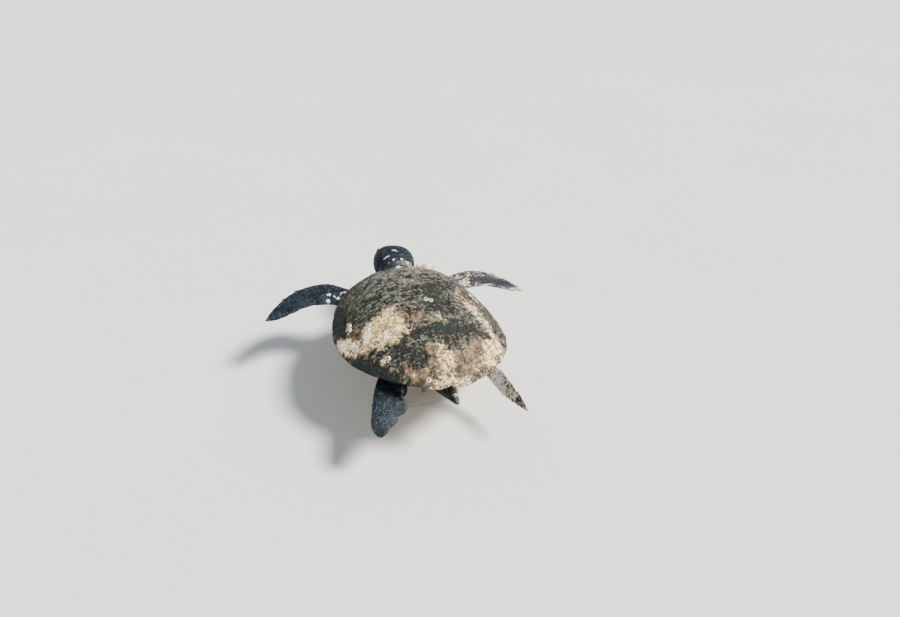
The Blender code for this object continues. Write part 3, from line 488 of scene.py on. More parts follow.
# %% Sections of the rim
MARGINAL_INNER = RIM_INSET + 0.0016
MARGINAL_TOP = (MARGINAL_INNER, 0.900, 0.935, 0.985)
MARGINAL_UNDER = 0.975
MARGINAL_NOTCH = 0.012
TAIL_NOTCH, TAIL_NOTCH_REACH = 0.078, 0.050
EDGE_DENTS, EDGE_TURF, EDGE_CRUST, EDGE_GROOVE = 0.0009, 0.0006, 0.0016, 0.0014
MARGINAL_STEPS, STEPS_PER_CELL, SECTION_POINTS = 3, 6, 26
SIDE_CELLS = (2, 5, 6, 6, 6, 6, 6, 5, 2)
NUCHAL_CELLS = 7
RIM_GRAIN, NAPE_GRAIN, NAPE_STEP = 9.0, (60.0, 20.0, 90.0), 0.004


def rim_stations():
    """Every w at which the flank plates' solids have a corner on the marginal seam."""
    bounds = (0.0,) + RIM_SEAMS + (1.0,)
    runs = [np.linspace(a, b, n + 1)[1:] for a, b, n in zip(bounds, bounds[1:], SIDE_CELLS)]
    return np.concatenate([[0.0], *runs])


def rim_wedge(w, edge_out):
    """Rounded wedge sections (x, fore, z) at each w, outer seam first, then round the edge."""
    drawn = np.minimum(edge_out, 0.0) / (1.0 - MARGINAL_INNER)
    level = dome(*rim(w).T)
    keys = []
    for share in MARGINAL_TOP:
        x, fore = rim(w, share + drawn * (share - MARGINAL_INNER)).T
        keys.append(np.stack([x, fore, dome(x, fore)], -1))
    under = MARGINAL_UNDER + drawn * (MARGINAL_UNDER - MARGINAL_INNER)
    for share, drop in ((1.0 + edge_out, RIM_LIP), (under, RIM_UNDERCUT), (MARGINAL_INNER, RIM_DEPTH)):
        keys.append(np.stack([*rim(w, share).T, level - drop], -1))
    return through(np.array(keys), np.linspace(0.0, 1.0, SECTION_POINTS)).transpose(1, 0, 2)


def edge_relief(place):
    """Broad dents and fine turf on the edge plates."""
    return EDGE_DENTS * lumps(place, 14.0, 3) + EDGE_TURF * lumps(place, 90.0, 3)


def make_rim(name, w, side, phase, number, edge_out):
    """Edge plates along w on one side; phase counts plates, whole numbers being seams."""
    points = rim_wedge(w, edge_out) * [side, -1.0, 1.0]
    spacing = np.linalg.norm(np.gradient(points[:, 3], axis=0), axis=-1)
    per_plate = np.abs(np.gradient(phase)) + 1e-9
    to_seam = np.abs(phase - np.round(phase)) / per_plate * spacing
    distance = np.broadcast_to(to_seam[:, None], points.shape[:2])
    place = points * [1.0, -1.0, 1.0]
    x, fore = place[..., 0], place[..., 1]
    shift = edge_relief(place) - EDGE_GROOVE * np.exp(-(distance / GROOVE_WIDTH) ** 2)
    shift += EDGE_CRUST * growth(x, fore, GROWTH["pale"]) * np.maximum(0.0, lumps(place, 55.0, 3) + 0.1)
    points = points + ring_normals(points) * shift[..., None]
    across = np.broadcast_to(np.linspace(0, 1, SECTION_POINTS), distance.shape)
    grain = np.stack([np.broadcast_to(phase[:, None] * RIM_GRAIN, distance.shape), across * GRAIN_ACROSS,
                      np.full_like(x, number)], -1)
    return add_loft(name, points, {**growth_values(x, fore), "border": distance, "grain": grain})


print("solids' corners along one side of the rim:", len(rim_stations()))

# %% Sweep the rim
stations = rim_stations()
fine = np.interp(np.arange(len(stations) * STEPS_PER_CELL - STEPS_PER_CELL + 1) / STEPS_PER_CELL,
                 np.arange(len(stations)), stations)
nape_end = NUCHAL_CELLS * STEPS_PER_CELL
for side, word in ((1.0, "left"), (-1.0, "right")):
    run = fine[nape_end:]
    phase = np.arange(len(run)) / (STEPS_PER_CELL * MARGINAL_STEPS)
    scallop = MARGINAL_NOTCH * run * np.sin(np.pi * (phase % 1.0)) ** 0.7
    scallop = scallop - TAIL_NOTCH * np.exp(-((1.0 - run) / TAIL_NOTCH_REACH) ** 2)
    keep_shell(make_rim(f"edge_plates_{word}", run, side, phase, 40.0 + side, scallop), f"marginals_{word}")
print("edge plates swept at", len(run), "stations a side")


# %% The plate over the nape
def make_nape(w):
    """Broad plate across the front of the rim; w runs from -1 on the right to 1 on the left."""
    points = rim_wedge(np.abs(w), np.zeros_like(w)) * [1.0, -1.0, 1.0]
    points[..., 0] *= np.sign(w)[:, None]
    place = points * [1.0, -1.0, 1.0]
    x, fore = place[..., 0], place[..., 1]
    ends = np.minimum(np.arange(len(w)), np.arange(len(w))[::-1])
    distance = np.broadcast_to((ends * NAPE_STEP)[:, None], x.shape)
    points[..., 2] += edge_relief(place)
    grain = np.stack([x, fore, np.ones_like(x)], -1) * NAPE_GRAIN
    return add_loft("nape_plate", points, {**growth_values(x, fore), "border": distance, "grain": grain})


keep_shell(make_nape(np.concatenate([-fine[nape_end:0:-1], fine[:nape_end + 1]])), "nuchal")
print("shell pieces:", len(shell_pieces))

# %% [markdown]
# ## Lower shell
# The plastron is a thin, cream plate under the belly, with wide bridges to the rim.  It
# follows the belly's own curve, so it is one slab whose seams are pressed in: a line down
# the middle, five across, and one along each bridge.

# %% Plastron
BELLY_DEPTH, BELLY_FORE, CHEST_OVERHANG = 0.116, 0.033, 0.050
PLASTRON_THICKNESS, PLASTRON_BED = 0.009, 0.004
PLASTRON_FRONT, PLASTRON_REAR = 0.272, -0.262
PLASTRON_LOBE, PLASTRON_BRIDGE = 0.175, 0.105
BRIDGE_FORE, BRIDGE_REACH = -0.015, 0.115
PLASTRON_SEAMS, BRIDGE_SEAM = (0.205, 0.120, 0.030, -0.060, -0.165), 0.150
PLASTRON_DENTS, PLASTRON_GROOVE, PLASTRON_GROOVE_WIDTH = 0.0006, 0.0018, 0.0028
PLASTRON_CELLS, PLASTRON_TIP = (150, 120), 0.985
SEAM_BOW, SEAM_BOW_AT = 0.018, 0.2
BRIDGE_BOW, BRIDGE_HALF = 0.2, 0.17


def belly(x, fore):
    """Height of the soft body's underside."""
    ahead = fore - BELLY_FORE
    front = SHELL_MIDDLE + SHELL_HALF_LENGTH * RIM_INSET - BELLY_FORE + CHEST_OVERHANG
    rear = SHELL_MIDDLE - SHELL_HALF_LENGTH * RIM_INSET - BELLY_FORE
    depth = np.where(ahead >= 0.0, falloff(ahead, front, 4.5, 1.0), falloff(ahead, rear, 2.8, 1.0))
    wide = RIM_INSET * half_width(SHELL_MIDDLE + (fore - SHELL_MIDDLE) / RIM_INSET)
    side = np.minimum(np.abs(x) / np.maximum(wide, 1e-6), 1.0)
    rise = (rim_height(fore, 1.0) - RIM_DEPTH) * side ** 2
    return rise - BELLY_DEPTH * depth * (1.0 - side ** 3)


def make_plastron():
    """Lower shell with its seams pressed in."""
    rows, cols = PLASTRON_CELLS
    v, u = np.meshgrid(np.linspace(-0.5, 0.5, rows), np.linspace(-0.5, 0.5, cols), indexing="ij")
    centre, reach = (PLASTRON_FRONT + PLASTRON_REAR) / 2.0, (PLASTRON_FRONT - PLASTRON_REAR) / 2.0
    fore = centre + reach * PLASTRON_TIP * np.sin(np.pi * v)
    wide = PLASTRON_LOBE * falloff(fore - centre, reach, 3.0, 0.55)
    wide = wide + PLASTRON_BRIDGE * np.exp(-((fore - BRIDGE_FORE) / BRIDGE_REACH) ** 4)
    x = 2.0 * u * wide
    curve = SEAM_BOW * (np.abs(x) / SEAM_BOW_AT) ** 2
    seams = [np.abs(x)] + [np.abs(fore - at + curve) for at in PLASTRON_SEAMS]
    bridge = np.abs(np.abs(x) - BRIDGE_SEAM + BRIDGE_BOW * np.abs(fore - BRIDGE_FORE) ** 1.5)
    seams.append(np.where(np.abs(fore - BRIDGE_FORE) < BRIDGE_HALF, bridge, 1.0))
    distance = np.min(seams, axis=0)
    level = belly(x, fore)
    edge = np.minimum(0.5 - np.abs(u), 0.5 - np.abs(v))
    place = np.stack([x, fore, level], -1)
    relief = PLASTRON_DENTS * lumps(place, 16.0, 3)
    relief -= PLASTRON_GROOVE * np.exp(-(distance / PLASTRON_GROOVE_WIDTH) ** 2)
    under = level - PLASTRON_THICKNESS * smooth(edge, -0.012, 0.018) - relief * smooth(edge, 0.0, 0.03)
    lower = np.stack([x, -fore, under + 0.0004], -1)
    upper = np.stack([x, -fore, level + PLASTRON_BED], -1)
    return add_slab("lower_shell", lower, upper, {"border": distance})


lower_shell = make_plastron()
stand_for(lower_shell, "belly", "plastron")
print("lower shell faces:", len(lower_shell.data.polygons))

# %% [markdown]
# ## Scales
# Turtle skin is paved with flat horny scales: big plates on the crown, a row of large ones
# down a flipper's leading edge, smaller ones across the blade.  Each scale here is a cell
# round a seed.  The distance to the border between the two nearest seeds gives both the
# groove pressed into the mesh and the pale seam that the material draws.

# %% Cells round seeds
GROOVE, SCALE_RISE = 0.0011, 0.0011
CELL_BATCH = 4000


def cells(places, seeds, sizes=0.0):
    """Distance to the nearest border between cells, and the number of each place's own cell."""
    points = places.reshape(-1, places.shape[-1])
    border, owner = np.empty(len(points)), np.empty(len(points), int)
    for start in range(0, len(points), CELL_BATCH):
        part = slice(start, start + CELL_BATCH)
        apart = ((points[part, None] - seeds[None]) ** 2).sum(-1) - sizes ** 2
        order = np.argpartition(apart, 1, axis=1)[:, :2]
        rows = np.arange(len(order))
        first, second = apart[rows, order[:, 0]], apart[rows, order[:, 1]]
        swap = first > second
        own = np.where(swap, order[:, 1], order[:, 0])
        other = np.where(swap, order[:, 0], order[:, 1])
        between = np.linalg.norm(seeds[own] - seeds[other], axis=1)
        border[part] = np.abs(second - first) / (2.0 * np.maximum(between, 1e-6))
        owner[part] = own
    return border.reshape(places.shape[:-1]), owner.reshape(places.shape[:-1])


def jitter(number, seed):
    """Repeatable value from -1 to 1 for each whole number."""
    return np.sin(np.asarray(number, float) * 12.9898 + seed * 78.233) * 43758.5453 % 2.0 - 1.0


def scale_relief(border):
    """0 in the groove between scales, 1 on a scale."""
    return 1.0 - np.exp(-(border / GROOVE) ** 1.6)


print("relief 0, 1 and 2 mm from a seam:", scale_relief(np.array([0.0, 0.001, 0.002])).round(2))

# %% [markdown]
# ## Head and neck
# The head is big and blunt, and the neck leaves it without a step, so one loft runs from
# inside the shell to the beak.  Rings are measured on the head's own sections and joined to
# the neck's by a spline.  Scales are seeded one by one where the species has its named plates
# and by rows on the cheeks.

# %% Head sections
HEAD_LENGTH = 0.222
HEAD_HINGE = (-0.013, -0.440, -0.012)
HEAD_TURN, HEAD_TILT = math.radians(7.0), math.radians(3.0)
HEAD_HALF_WIDTHS = (0.29, 0.385, 0.410, 0.373, 0.268, 0.142)
HEAD_TOPS = (0.22, 0.285, 0.300, 0.275, 0.190, 0.070)
HEAD_BOTTOMS = (-0.24, -0.290, -0.285, -0.262, -0.235, -0.215)
SNOUT_ROUND = 0.14
SNOUT_START, SNOUT_END = 1.0 - SNOUT_ROUND, 1.0 + SNOUT_ROUND * 0.0299
CHEEK_LEVEL = 0.46
CROWN_SQUARE, CHEEK_SQUARE, RISE_SQUARE = 0.80, 0.72, 0.85
HEAD_RING_POINTS = 280
NECK_RINGS = (((0.0, -0.180, -0.050), 0.070, 0.038), ((0.0, -0.280, -0.052), 0.070, 0.040),
              ((0.0, -0.365, -0.051), 0.068, 0.042))
HEAD_TO_BODY = np.array(Matrix.LocRotScale(Vector(HEAD_HINGE), Euler((HEAD_TILT, 0.0, -HEAD_TURN)), None))


def head_surface(u, angle):
    """Points of the head in its own frame; u is 0 at the neck and 1 at the snout."""
    half, top, bottom = (through(keys, np.clip(u, 0.0, 1.0))
                         for keys in (HEAD_HALF_WIDTHS, HEAD_TOPS, HEAD_BOTTOMS))
    close = falloff(np.maximum(0.0, u - 1.0 + SNOUT_ROUND), SNOUT_ROUND * 1.03, 2.0, 0.5)
    level = 0.25 * top + 0.75 * bottom
    top, bottom = level + (top - level) * close, level + (bottom - level) * close
    middle = bottom + CHEEK_LEVEL * (top - bottom)
    c, s = np.cos(angle), np.sin(angle)
    x = half * close * np.sign(c) * np.abs(c) ** np.where(s > 0.0, CROWN_SQUARE, CHEEK_SQUARE)
    rise = np.where(s > 0.0, top - middle, middle - bottom)
    z = middle + rise * np.sign(s) * np.abs(s) ** RISE_SQUARE
    return np.stack([x, -u * np.ones_like(x), z], -1) * HEAD_LENGTH


def head_stations(start, skull_rings, snout_rings):
    """Places along the head, closing up where the snout rounds off."""
    last = np.sin(np.linspace(0.0, np.pi / 2.0, snout_rings))[1:]
    return np.concatenate([np.linspace(start, SNOUT_START, skull_rings),
                           SNOUT_START + (SNOUT_END - SNOUT_START) * last])


def to_body(points):
    """Move points from the head's frame to the turtle's."""
    return points @ HEAD_TO_BODY[:3, :3].T + HEAD_TO_BODY[:3, 3]


def even_angles(count):
    """Angles that space points evenly round the head's middle section."""
    dense = np.linspace(0.0, 2.0 * np.pi, 4001)
    ring = head_surface(np.full_like(dense, 0.5), dense)
    run = np.concatenate([[0.0], np.cumsum(np.linalg.norm(np.diff(ring, axis=0), axis=1))])
    return np.interp(np.arange(count) * run[-1] / count, run, dense)


ring_angles = even_angles(HEAD_RING_POINTS)
print("head ring spacing:", round(2 * math.pi * 0.08 / HEAD_RING_POINTS * 1000, 2), "mm")

# %% Scales of the head
# Named plates of the crown: along the head, degrees up from the left, size in metres
CROWN_PLATES = (
    (0.885, 74, 0.010), (0.800, 66, 0.012), (0.815, 90, 0.007), (0.715, 90, 0.010),
    (0.690, 60, 0.014), (0.575, 90, 0.020), (0.560, 60, 0.013), (0.440, 76, 0.014),
    (0.430, 55, 0.014), (0.355, 90, 0.012), (0.300, 72, 0.013), (0.300, 52, 0.013),
    (0.210, 84, 0.010), (0.190, 64, 0.010), (0.180, 47, 0.010),
    (0.575, 37, 0.009), (0.560, 20, 0.009), (0.575, 4, 0.009), (0.600, -12, 0.008),
    (0.780, 42, 0.008), (0.840, 50, 0.007),
    (0.690, 4, 0.006), (0.760, 10, 0.007), (0.830, 22, 0.007), (0.660, -12, 0.006), (0.885, 40, 0.007),
)
CHEEK_ROWS = ((0.46, 0.009), (0.355, 0.009), (0.255, 0.008), (0.165, 0.007))
THROAT_ROWS = (0.90, 0.80, 0.70, 0.60, 0.50, 0.40, 0.30, 0.20)


def head_seeds():
    """Seed places on the head, left and right alike, with their sizes."""
    spots = [(u, math.radians(d), size) for u, d, size in CROWN_PLATES]
    for row, (u, size) in enumerate(CHEEK_ROWS):
        for step in range(5):
            degrees = 34 - 19 * step + 4 * row
            spots.append((u + 0.012 * jitter(step, row), math.radians(degrees), size))
    for row, u in enumerate(THROAT_ROWS):
        for step in range(4):
            spots.append((u + 0.02 * jitter(step, row + 9), math.radians(-44 - 13 * step), 0.006))
    u, angle, size = np.array(spots).T
    both = np.concatenate([angle, np.pi - angle])
    u, size = np.tile(u, 2), np.tile(size, 2)
    single = (np.abs(both - np.pi / 2.0) > 1e-3) | (np.arange(len(both)) < len(angle))
    return head_surface(u, both)[single], size[single]


print("scales seeded on the head:", len(head_seeds()[1]))

# %% Eye sockets, lids and the seat of the beak
EYE_RADIUS = 0.0155
EYE_PLACE = np.array([0.0580, -0.152, 0.020])
EYE_GAZE = unit(np.array([0.90, -0.27, 0.34]))
LID_LONG, LID_HIGH, LID_STEPS = 0.0138, 0.0104, 120
BITE_LINE = ((0.100, -0.031), (0.150, -0.027), (0.190, -0.028), (0.212, -0.033), (0.242, -0.044))
BEAK_TOP = ((0.100, -0.029), (0.112, -0.017), (0.150, -0.010), (0.190, -0.002), (0.210, 0.004),
            (0.242, 0.007))
SOCKET_GAP, SOCKET_DEPTH = 0.0012, 0.014
LID_FOLDS = ((2.0, 0.16, 0.0011), (2.7, 0.20, 0.0009))
NOSTRIL, NOSTRIL_DEPTH, NOSTRIL_RIM = np.array([0.0080, -0.2085, 0.0125]), 0.0034, 0.0007
BEAK_UNDER = ((0.100, -0.033), (0.140, -0.047), (0.178, -0.055), (0.242, -0.075))
BEAK_SEAT = 0.0022


def eye_axes(side):
    """Centre of an eye, its gaze, and the directions forward and up along its lids."""
    flip = np.array([side, 1.0, 1.0])
    out = EYE_GAZE * flip
    level = np.array([0.0, -1.0, -0.10])
    ahead = unit(level - out * np.dot(level, out))
    return EYE_PLACE * flip, out, ahead, np.cross(out, ahead) * -side


def sink_sockets(points):
    """Sink the skin behind each eye's opening and raise the flesh round the lids."""
    points = points.copy()
    for side in (1.0, -1.0):
        centre, out, ahead, up = eye_axes(side)
        offset = points - centre
        along, forward, height = offset @ out, offset @ ahead, offset @ up
        oval = np.sqrt((forward / LID_LONG) ** 2 + (height / LID_HIGH) ** 2)
        near = (along > -0.012) & (oval < 4.0)
        distance = np.linalg.norm(offset, axis=-1)
        hood = np.maximum(EYE_RADIUS + SOCKET_GAP - distance, 0.0) * smooth(-oval, -2.3, -1.2)
        fold = sum(depth * np.exp(-((oval - ring) / wide) ** 2) for ring, wide, depth in LID_FOLDS)
        sink = SOCKET_DEPTH * smooth(-oval, -1.02, -0.80)
        move = hood * (oval > 0.9) - fold - sink
        points += out * (move * near)[..., None]
    return points


def seat_of_beak(points, normals):
    """Press the skin in where the horny beak covers it."""
    fore, z = -points[..., 1], points[..., 2]
    above = np.interp(fore, *np.array(BEAK_TOP).T) - z
    below = z - np.interp(fore, *np.array(BEAK_UNDER).T)
    depth = np.minimum(np.minimum(above, below), fore - 0.099)
    return points - normals * (BEAK_SEAT * smooth(depth, -0.0004, 0.0016))[..., None], depth


print("eyes look", np.round(EYE_GAZE, 2), "and its mirror image")

# %% Nostrils and wrinkles
NECK_WAVE, WRINKLE_DEPTH, NECK_DENTS, NECK_SET_BACK = 0.0030, 0.0011, 0.0012, 0.0010


def nostrils(points):
    """Depth of the two nostrils, each with a slight rim."""
    depth = np.zeros(points.shape[:-1])
    for flip in (1.0, -1.0):
        apart = np.linalg.norm(points - NOSTRIL * [flip, 1.0, 1.0], axis=-1)
        nearest = np.unravel_index(np.argmin(apart), apart.shape)
        apart = np.linalg.norm(points - points[nearest], axis=-1)
        depth += NOSTRIL_DEPTH * np.exp(-(apart / 0.0021) ** 2)
        depth -= NOSTRIL_RIM * np.exp(-((apart - 0.0042) / 0.0014) ** 2)
    return depth


def facing_down(points):
    """1 where a closed loft faces the ground, 0 on its sides and top."""
    return smooth(-ring_normals(points)[..., 2], 0.40, 0.85)


def wrinkle_neck(points, count):
    """Soft rings of loose skin on the neck, fading out over the back of the skull."""
    row = np.arange(len(points))[:, None]
    where = smooth(-row, -count - 24.0, -count + 4.0)
    wave = np.sin(points[..., 1] / NECK_WAVE + 2.2 * lumps(points, 16.0, 3))
    depth = WRINKLE_DEPTH * np.minimum(wave, 0.3) + NECK_DENTS * lumps(points, 26.0, 3)
    return points + ring_normals(points) * (depth * where - NECK_SET_BACK * where)[..., None]


print("wrinkles every", round(2.0 * math.pi * NECK_WAVE * 1000.0), "mm")


# %% Loft of the neck and head
def make_head_skin():
    """Closed loft from inside the shell to the snout, with scales, sockets and wrinkles."""
    neck = [np.stack([c[0] + a * np.cos(ring_angles), np.full(HEAD_RING_POINTS, c[1]),
                      c[2] + b * np.sin(ring_angles)], -1) for c, a, b in NECK_RINGS]
    joins = [to_body(head_surface(np.full(HEAD_RING_POINTS, u), ring_angles)) for u in (0.10, 0.20)]
    neck_part = through(np.array(neck + joins), np.linspace(0.0, 0.75, 70))[:-1]
    u = head_stations(0.10, 170, 52)
    skull = head_surface(*np.meshgrid(u, ring_angles, indexing="ij"))
    border, owner = cells(skull, *head_seeds())
    normals = ring_normals(skull)
    fade = smooth(u, 0.11, 0.20)[:, None]
    raise_ = scale_relief(border) * fade
    skull, depth = seat_of_beak(skull, normals)
    bare = smooth(depth, -0.004, 0.0)
    dome_up = SCALE_RISE * (raise_ - 1.0) * (1.0 - bare) + 0.0005 * smooth(border, 0.0, 0.008) * fade
    skull = skull + normals * (dome_up - 0.0002 - nostrils(skull))[..., None]
    skull = to_body(sink_sockets(skull))
    count = len(neck_part)
    blank = np.ones((count, HEAD_RING_POINTS))
    points = wrinkle_neck(np.concatenate([neck_part, skull]), count)
    values = {"raise": np.concatenate([blank, np.where(fade > 0.01, raise_ + 1.0 - fade, 1.0)]),
              "tone": np.concatenate([blank * 0.0, jitter(owner, 3) * fade])}
    by_beak = np.concatenate([blank * 0.0, smooth(depth, -0.010, -0.004)])
    values["under"] = facing_down(points) * (1.0 - by_beak)
    return points, values


head_part = make_head_skin()
print("head loft:", head_part[0].shape[:2], "points")

# %% [markdown]
# ## Flippers
# A flipper is a wing: round along its leading edge, thin behind, and swept.  Two splines
# give its edges, and each ring between them is a wing section standing square to the
# flipper's span.  Rows of scales are seeded by distance along and across the blade, large
# ones in front and small ones behind.

# %% The flippers' edges
# Edges are (x, fore, z) from root to tip, in the turtle's frame
FRONT = dict(root=0.024, tip=0.0035, claws=(0.58, 0.72), claw_length=0.020, size=1.0)
HIND = dict(tip=0.004, claws=(0.52, 0.70), claw_length=0.014, size=0.8)
FLIPPERS = {
    "front_left": dict(
        FRONT, lobes=9.0, cut=0.035,
        lead=((0.150, 0.322, -0.050), (0.212, 0.376, -0.050), (0.285, 0.434, -0.052),
              (0.371, 0.432, -0.059), (0.447, 0.396, -0.069), (0.514, 0.326, -0.082),
              (0.558, 0.262, -0.095)),
        trail=((0.150, 0.205, -0.062), (0.235, 0.248, -0.054), (0.315, 0.281, -0.057),
               (0.386, 0.284, -0.063), (0.449, 0.261, -0.073), (0.505, 0.246, -0.086),
               (0.553, 0.253, -0.098))),
    "front_right": dict(
        FRONT, lobes=8.0, cut=0.035,
        lead=((-0.150, 0.330, -0.048), (-0.225, 0.395, -0.044), (-0.320, 0.440, -0.041),
              (-0.410, 0.434, -0.041), (-0.474, 0.378, -0.038), (-0.512, 0.305, -0.033),
              (-0.533, 0.228, -0.029)),
        trail=((-0.150, 0.195, -0.055), (-0.225, 0.252, -0.038), (-0.300, 0.280, -0.028),
               (-0.371, 0.280, -0.025), (-0.427, 0.252, -0.024), (-0.475, 0.224, -0.024),
               (-0.525, 0.216, -0.027))),
    "hind_left": dict(
        HIND, root=0.022, lobes=4.6, cut=0.17,
        lead=((0.150, -0.120, -0.050), (0.204, -0.210, -0.058), (0.236, -0.277, -0.072),
              (0.258, -0.350, -0.089), (0.271, -0.405, -0.107), (0.262, -0.433, -0.130)),
        trail=((0.060, -0.200, -0.060), (0.112, -0.262, -0.066), (0.128, -0.318, -0.076),
               (0.144, -0.372, -0.090), (0.186, -0.402, -0.112), (0.234, -0.432, -0.143))),
    "hind_right": dict(
        HIND, root=0.020, lobes=6.0, cut=0.08,
        lead=((-0.140, -0.105, -0.060), (-0.194, -0.190, -0.096), (-0.224, -0.262, -0.126),
              (-0.244, -0.318, -0.134), (-0.260, -0.381, -0.122), (-0.272, -0.440, -0.106)),
        trail=((-0.070, -0.150, -0.040), (-0.160, -0.220, -0.038), (-0.229, -0.274, -0.042),
               (-0.250, -0.327, -0.064), (-0.264, -0.386, -0.077), (-0.273, -0.449, -0.095))),
}
print("flippers:", {word: len(spec["lead"]) for word, spec in FLIPPERS.items()}, "edge points")

# %% Blades
BLADE_RINGS, BLADE_SIDE, TIP_START = 210, 62, 0.86
LOOSE_FOLDS, THIN_BLADE = 0.0016, 0.0022
BLADE_SWELL, TRAILING_HALF, BLADE_SET_BACK = 1.68, 0.0011, 0.0003
# Rows of scales across the blade: share of its width, and their spacing in metres
SCALE_ROWS = ((0.05, 0.026), (0.17, 0.020), (0.29, 0.016), (0.40, 0.014), (0.50, 0.0125),
              (0.59, 0.0115), (0.68, 0.0105), (0.76, 0.0095), (0.84, 0.0085), (0.91, 0.0075),
              (0.97, 0.0065))


def edge_place(points, t):
    """Places on a flipper's edge, with y towards the tail."""
    return through(points, t) * np.array([1.0, -1.0, 1.0])


def blade_seeds(length, width_at, size):
    """Seeds of the scales in (along, across) metres."""
    found = []
    for row, (share, spacing) in enumerate(SCALE_ROWS):
        step = spacing * size
        along = np.arange(step * (0.5 if row % 2 else 0.0), length, step)
        shake = [jitter(np.arange(len(along)), seed) for seed in (row, row + 31)]
        found.append(np.stack([along, share * width_at(along)], -1) + 0.22 * step * np.stack(shake, -1))
    return np.concatenate(found)


def blade_edges(spec, t):
    """Leading edge, middle and trailing edge at each t, with the lobes cut in and a round tip."""
    lead, trail = edge_place(spec["lead"], t), edge_place(spec["trail"], t)
    lobes = 1.0 - np.abs(np.sin(np.pi * spec["lobes"] * t + 0.8 * np.sin(7.0 * t))) ** 0.6
    cut = spec["cut"] * lobes * smooth(t, 0.25, 0.45) * smooth(-t, -1.0, -0.93)
    trail = trail + (lead - trail) * cut[:, None]
    middle = (lead + trail) / 2.0
    to_tip = np.clip((t - TIP_START) / (1.001 - TIP_START), 0.0, 1.0)
    close = 0.10 + 0.90 * np.sqrt(1.0 - to_tip ** 2)[:, None]
    return middle + (lead - middle) * close, middle, middle + (trail - middle) * close


def make_blade(spec):
    """Rings of one flipper, with the scales pressed in, and their values."""
    t = np.linspace(0.0, 1.0, BLADE_RINGS) ** 0.9
    lead, middle, trail = blade_edges(spec, t)
    chord = trail - lead
    up = unit(np.sign(lead[:, :1]) * np.cross(np.gradient(middle, axis=0), chord))
    thick = spec["tip"] + (spec["root"] - spec["tip"]) * (1.0 - t) ** 1.3
    share = np.linspace(0.0, 1.0, BLADE_SIDE) ** 1.7
    swell = BLADE_SWELL * np.sqrt(share) * (1.0 - share) ** 0.75
    lift = thick[:, None] * swell + TRAILING_HALF * share
    base = lead[:, None] + chord[:, None] * share[:, None]
    upper, lower = base + up[:, None] * lift[..., None], base - up[:, None] * lift[..., None]
    ring = np.concatenate([upper, lower[:, :0:-1]], 1)
    along = np.concatenate([[0.0], np.cumsum(np.linalg.norm(np.diff(middle, axis=0), axis=1))])
    width = np.linalg.norm(chord, axis=1)
    across = np.concatenate([share, share[:0:-1]])
    flat = np.stack([np.broadcast_to(along[:, None], ring.shape[:2]), width[:, None] * across], -1)
    seeds = blade_seeds(along[-1] * 1.02, lambda a: np.interp(a, along, width), spec["size"])
    border, owner = cells(flat, seeds)
    out_share = (along / along[-1])[:, None]
    firm = smooth(out_share, 0.10, 0.30) * smooth(1.0 - across, 0.02, 0.25)
    raised = scale_relief(border)
    shift = SCALE_RISE * (raised - 1.0) * (0.35 + 0.65 * firm) + 0.0004 * smooth(border, 0.0, 0.006) * firm
    loose = LOOSE_FOLDS * lumps(ring, 24.0, 3) * (1.0 - smooth(out_share, 0.05, 0.35))
    shift = shift + loose - BLADE_SET_BACK
    keep = np.minimum(1.0, lift / THIN_BLADE)
    shift = shift * np.concatenate([keep, keep[:, :0:-1]], 1)
    ring = ring + ring_normals(ring) * shift[..., None]
    under = np.concatenate([np.zeros(BLADE_SIDE), smooth(share[:0:-1], 0.02, 0.20)])
    return ring, {"raise": raised, "tone": jitter(owner, 5), "under": np.broadcast_to(under, ring.shape[:2])}


blades = {word: make_blade(spec) for word, spec in FLIPPERS.items()}
print("flippers:", {word: made[0].shape[:2] for word, made in blades.items()})

# %% [markdown]
# ## Tail and trunk
# Females and young turtles have a tail that barely passes the shell.  The trunk shows only
# between the shell and the plastron and round the roots of the limbs, where the skin hangs
# in loose folds.

# %% Tail and trunk lofts
TAIL_RINGS = (((0.000, 0.250, -0.070), 0.050, 0.030), ((-0.013, 0.330, -0.062), 0.030, 0.026),
              ((-0.0155, 0.380, -0.050), 0.0185, 0.0185), ((-0.0155, 0.415, -0.043), 0.0105, 0.010),
              ((-0.016, 0.428, -0.041), 0.004, 0.004))
TAIL_POINTS, TAIL_ROWS = 72, 90
TRUNK_AROUND, TRUNK_RINGS = 300, 64
TRUNK_INSET, TRUNK_DROP, TRUNK_FOLDS = RIM_INSET - 0.004, 0.0115, 0.0022
TAIL_SCALE_LONG, TAIL_SCALE_ROUND, TAIL_GIRTH = 0.0085, 0.0105, 0.126
TAIL_RADIUS, TAIL_RISE = 0.020, 0.0007


def make_tail():
    """Rings of the tail with small rough scales."""
    keys = np.array([[*c, a, b] for c, a, b in TAIL_RINGS])
    row = through(keys, np.linspace(0.0, 1.0, TAIL_ROWS))[:, None]
    angle = turns(TAIL_POINTS)
    ring = np.stack([np.cos(angle), 0.0 * angle, np.sin(angle)], -1)
    points = row[..., :3] + ring * row[..., [3, 3, 4]]
    flat = np.stack([points[..., 1], TAIL_RADIUS * np.broadcast_to(angle, points.shape[:2])], -1)
    along, around = np.meshgrid(np.arange(0.25, 0.44, TAIL_SCALE_LONG),
                                np.arange(0.0, TAIL_GIRTH, TAIL_SCALE_ROUND), indexing="ij")
    seeds = np.stack([along.ravel() + 0.0025 * jitter(np.arange(along.size), 1),
                      around.ravel() + 0.003 * jitter(np.arange(along.size), 2)], -1)
    border, owner = cells(flat, seeds)
    raised = scale_relief(border)
    shift = TAIL_RISE * (raised - 1.0) - 0.0002
    points = points + unit(points - points.mean(1, keepdims=True)) * shift[..., None]
    return points, {"raise": raised, "tone": jitter(owner, 8), "under": facing_down(points)}


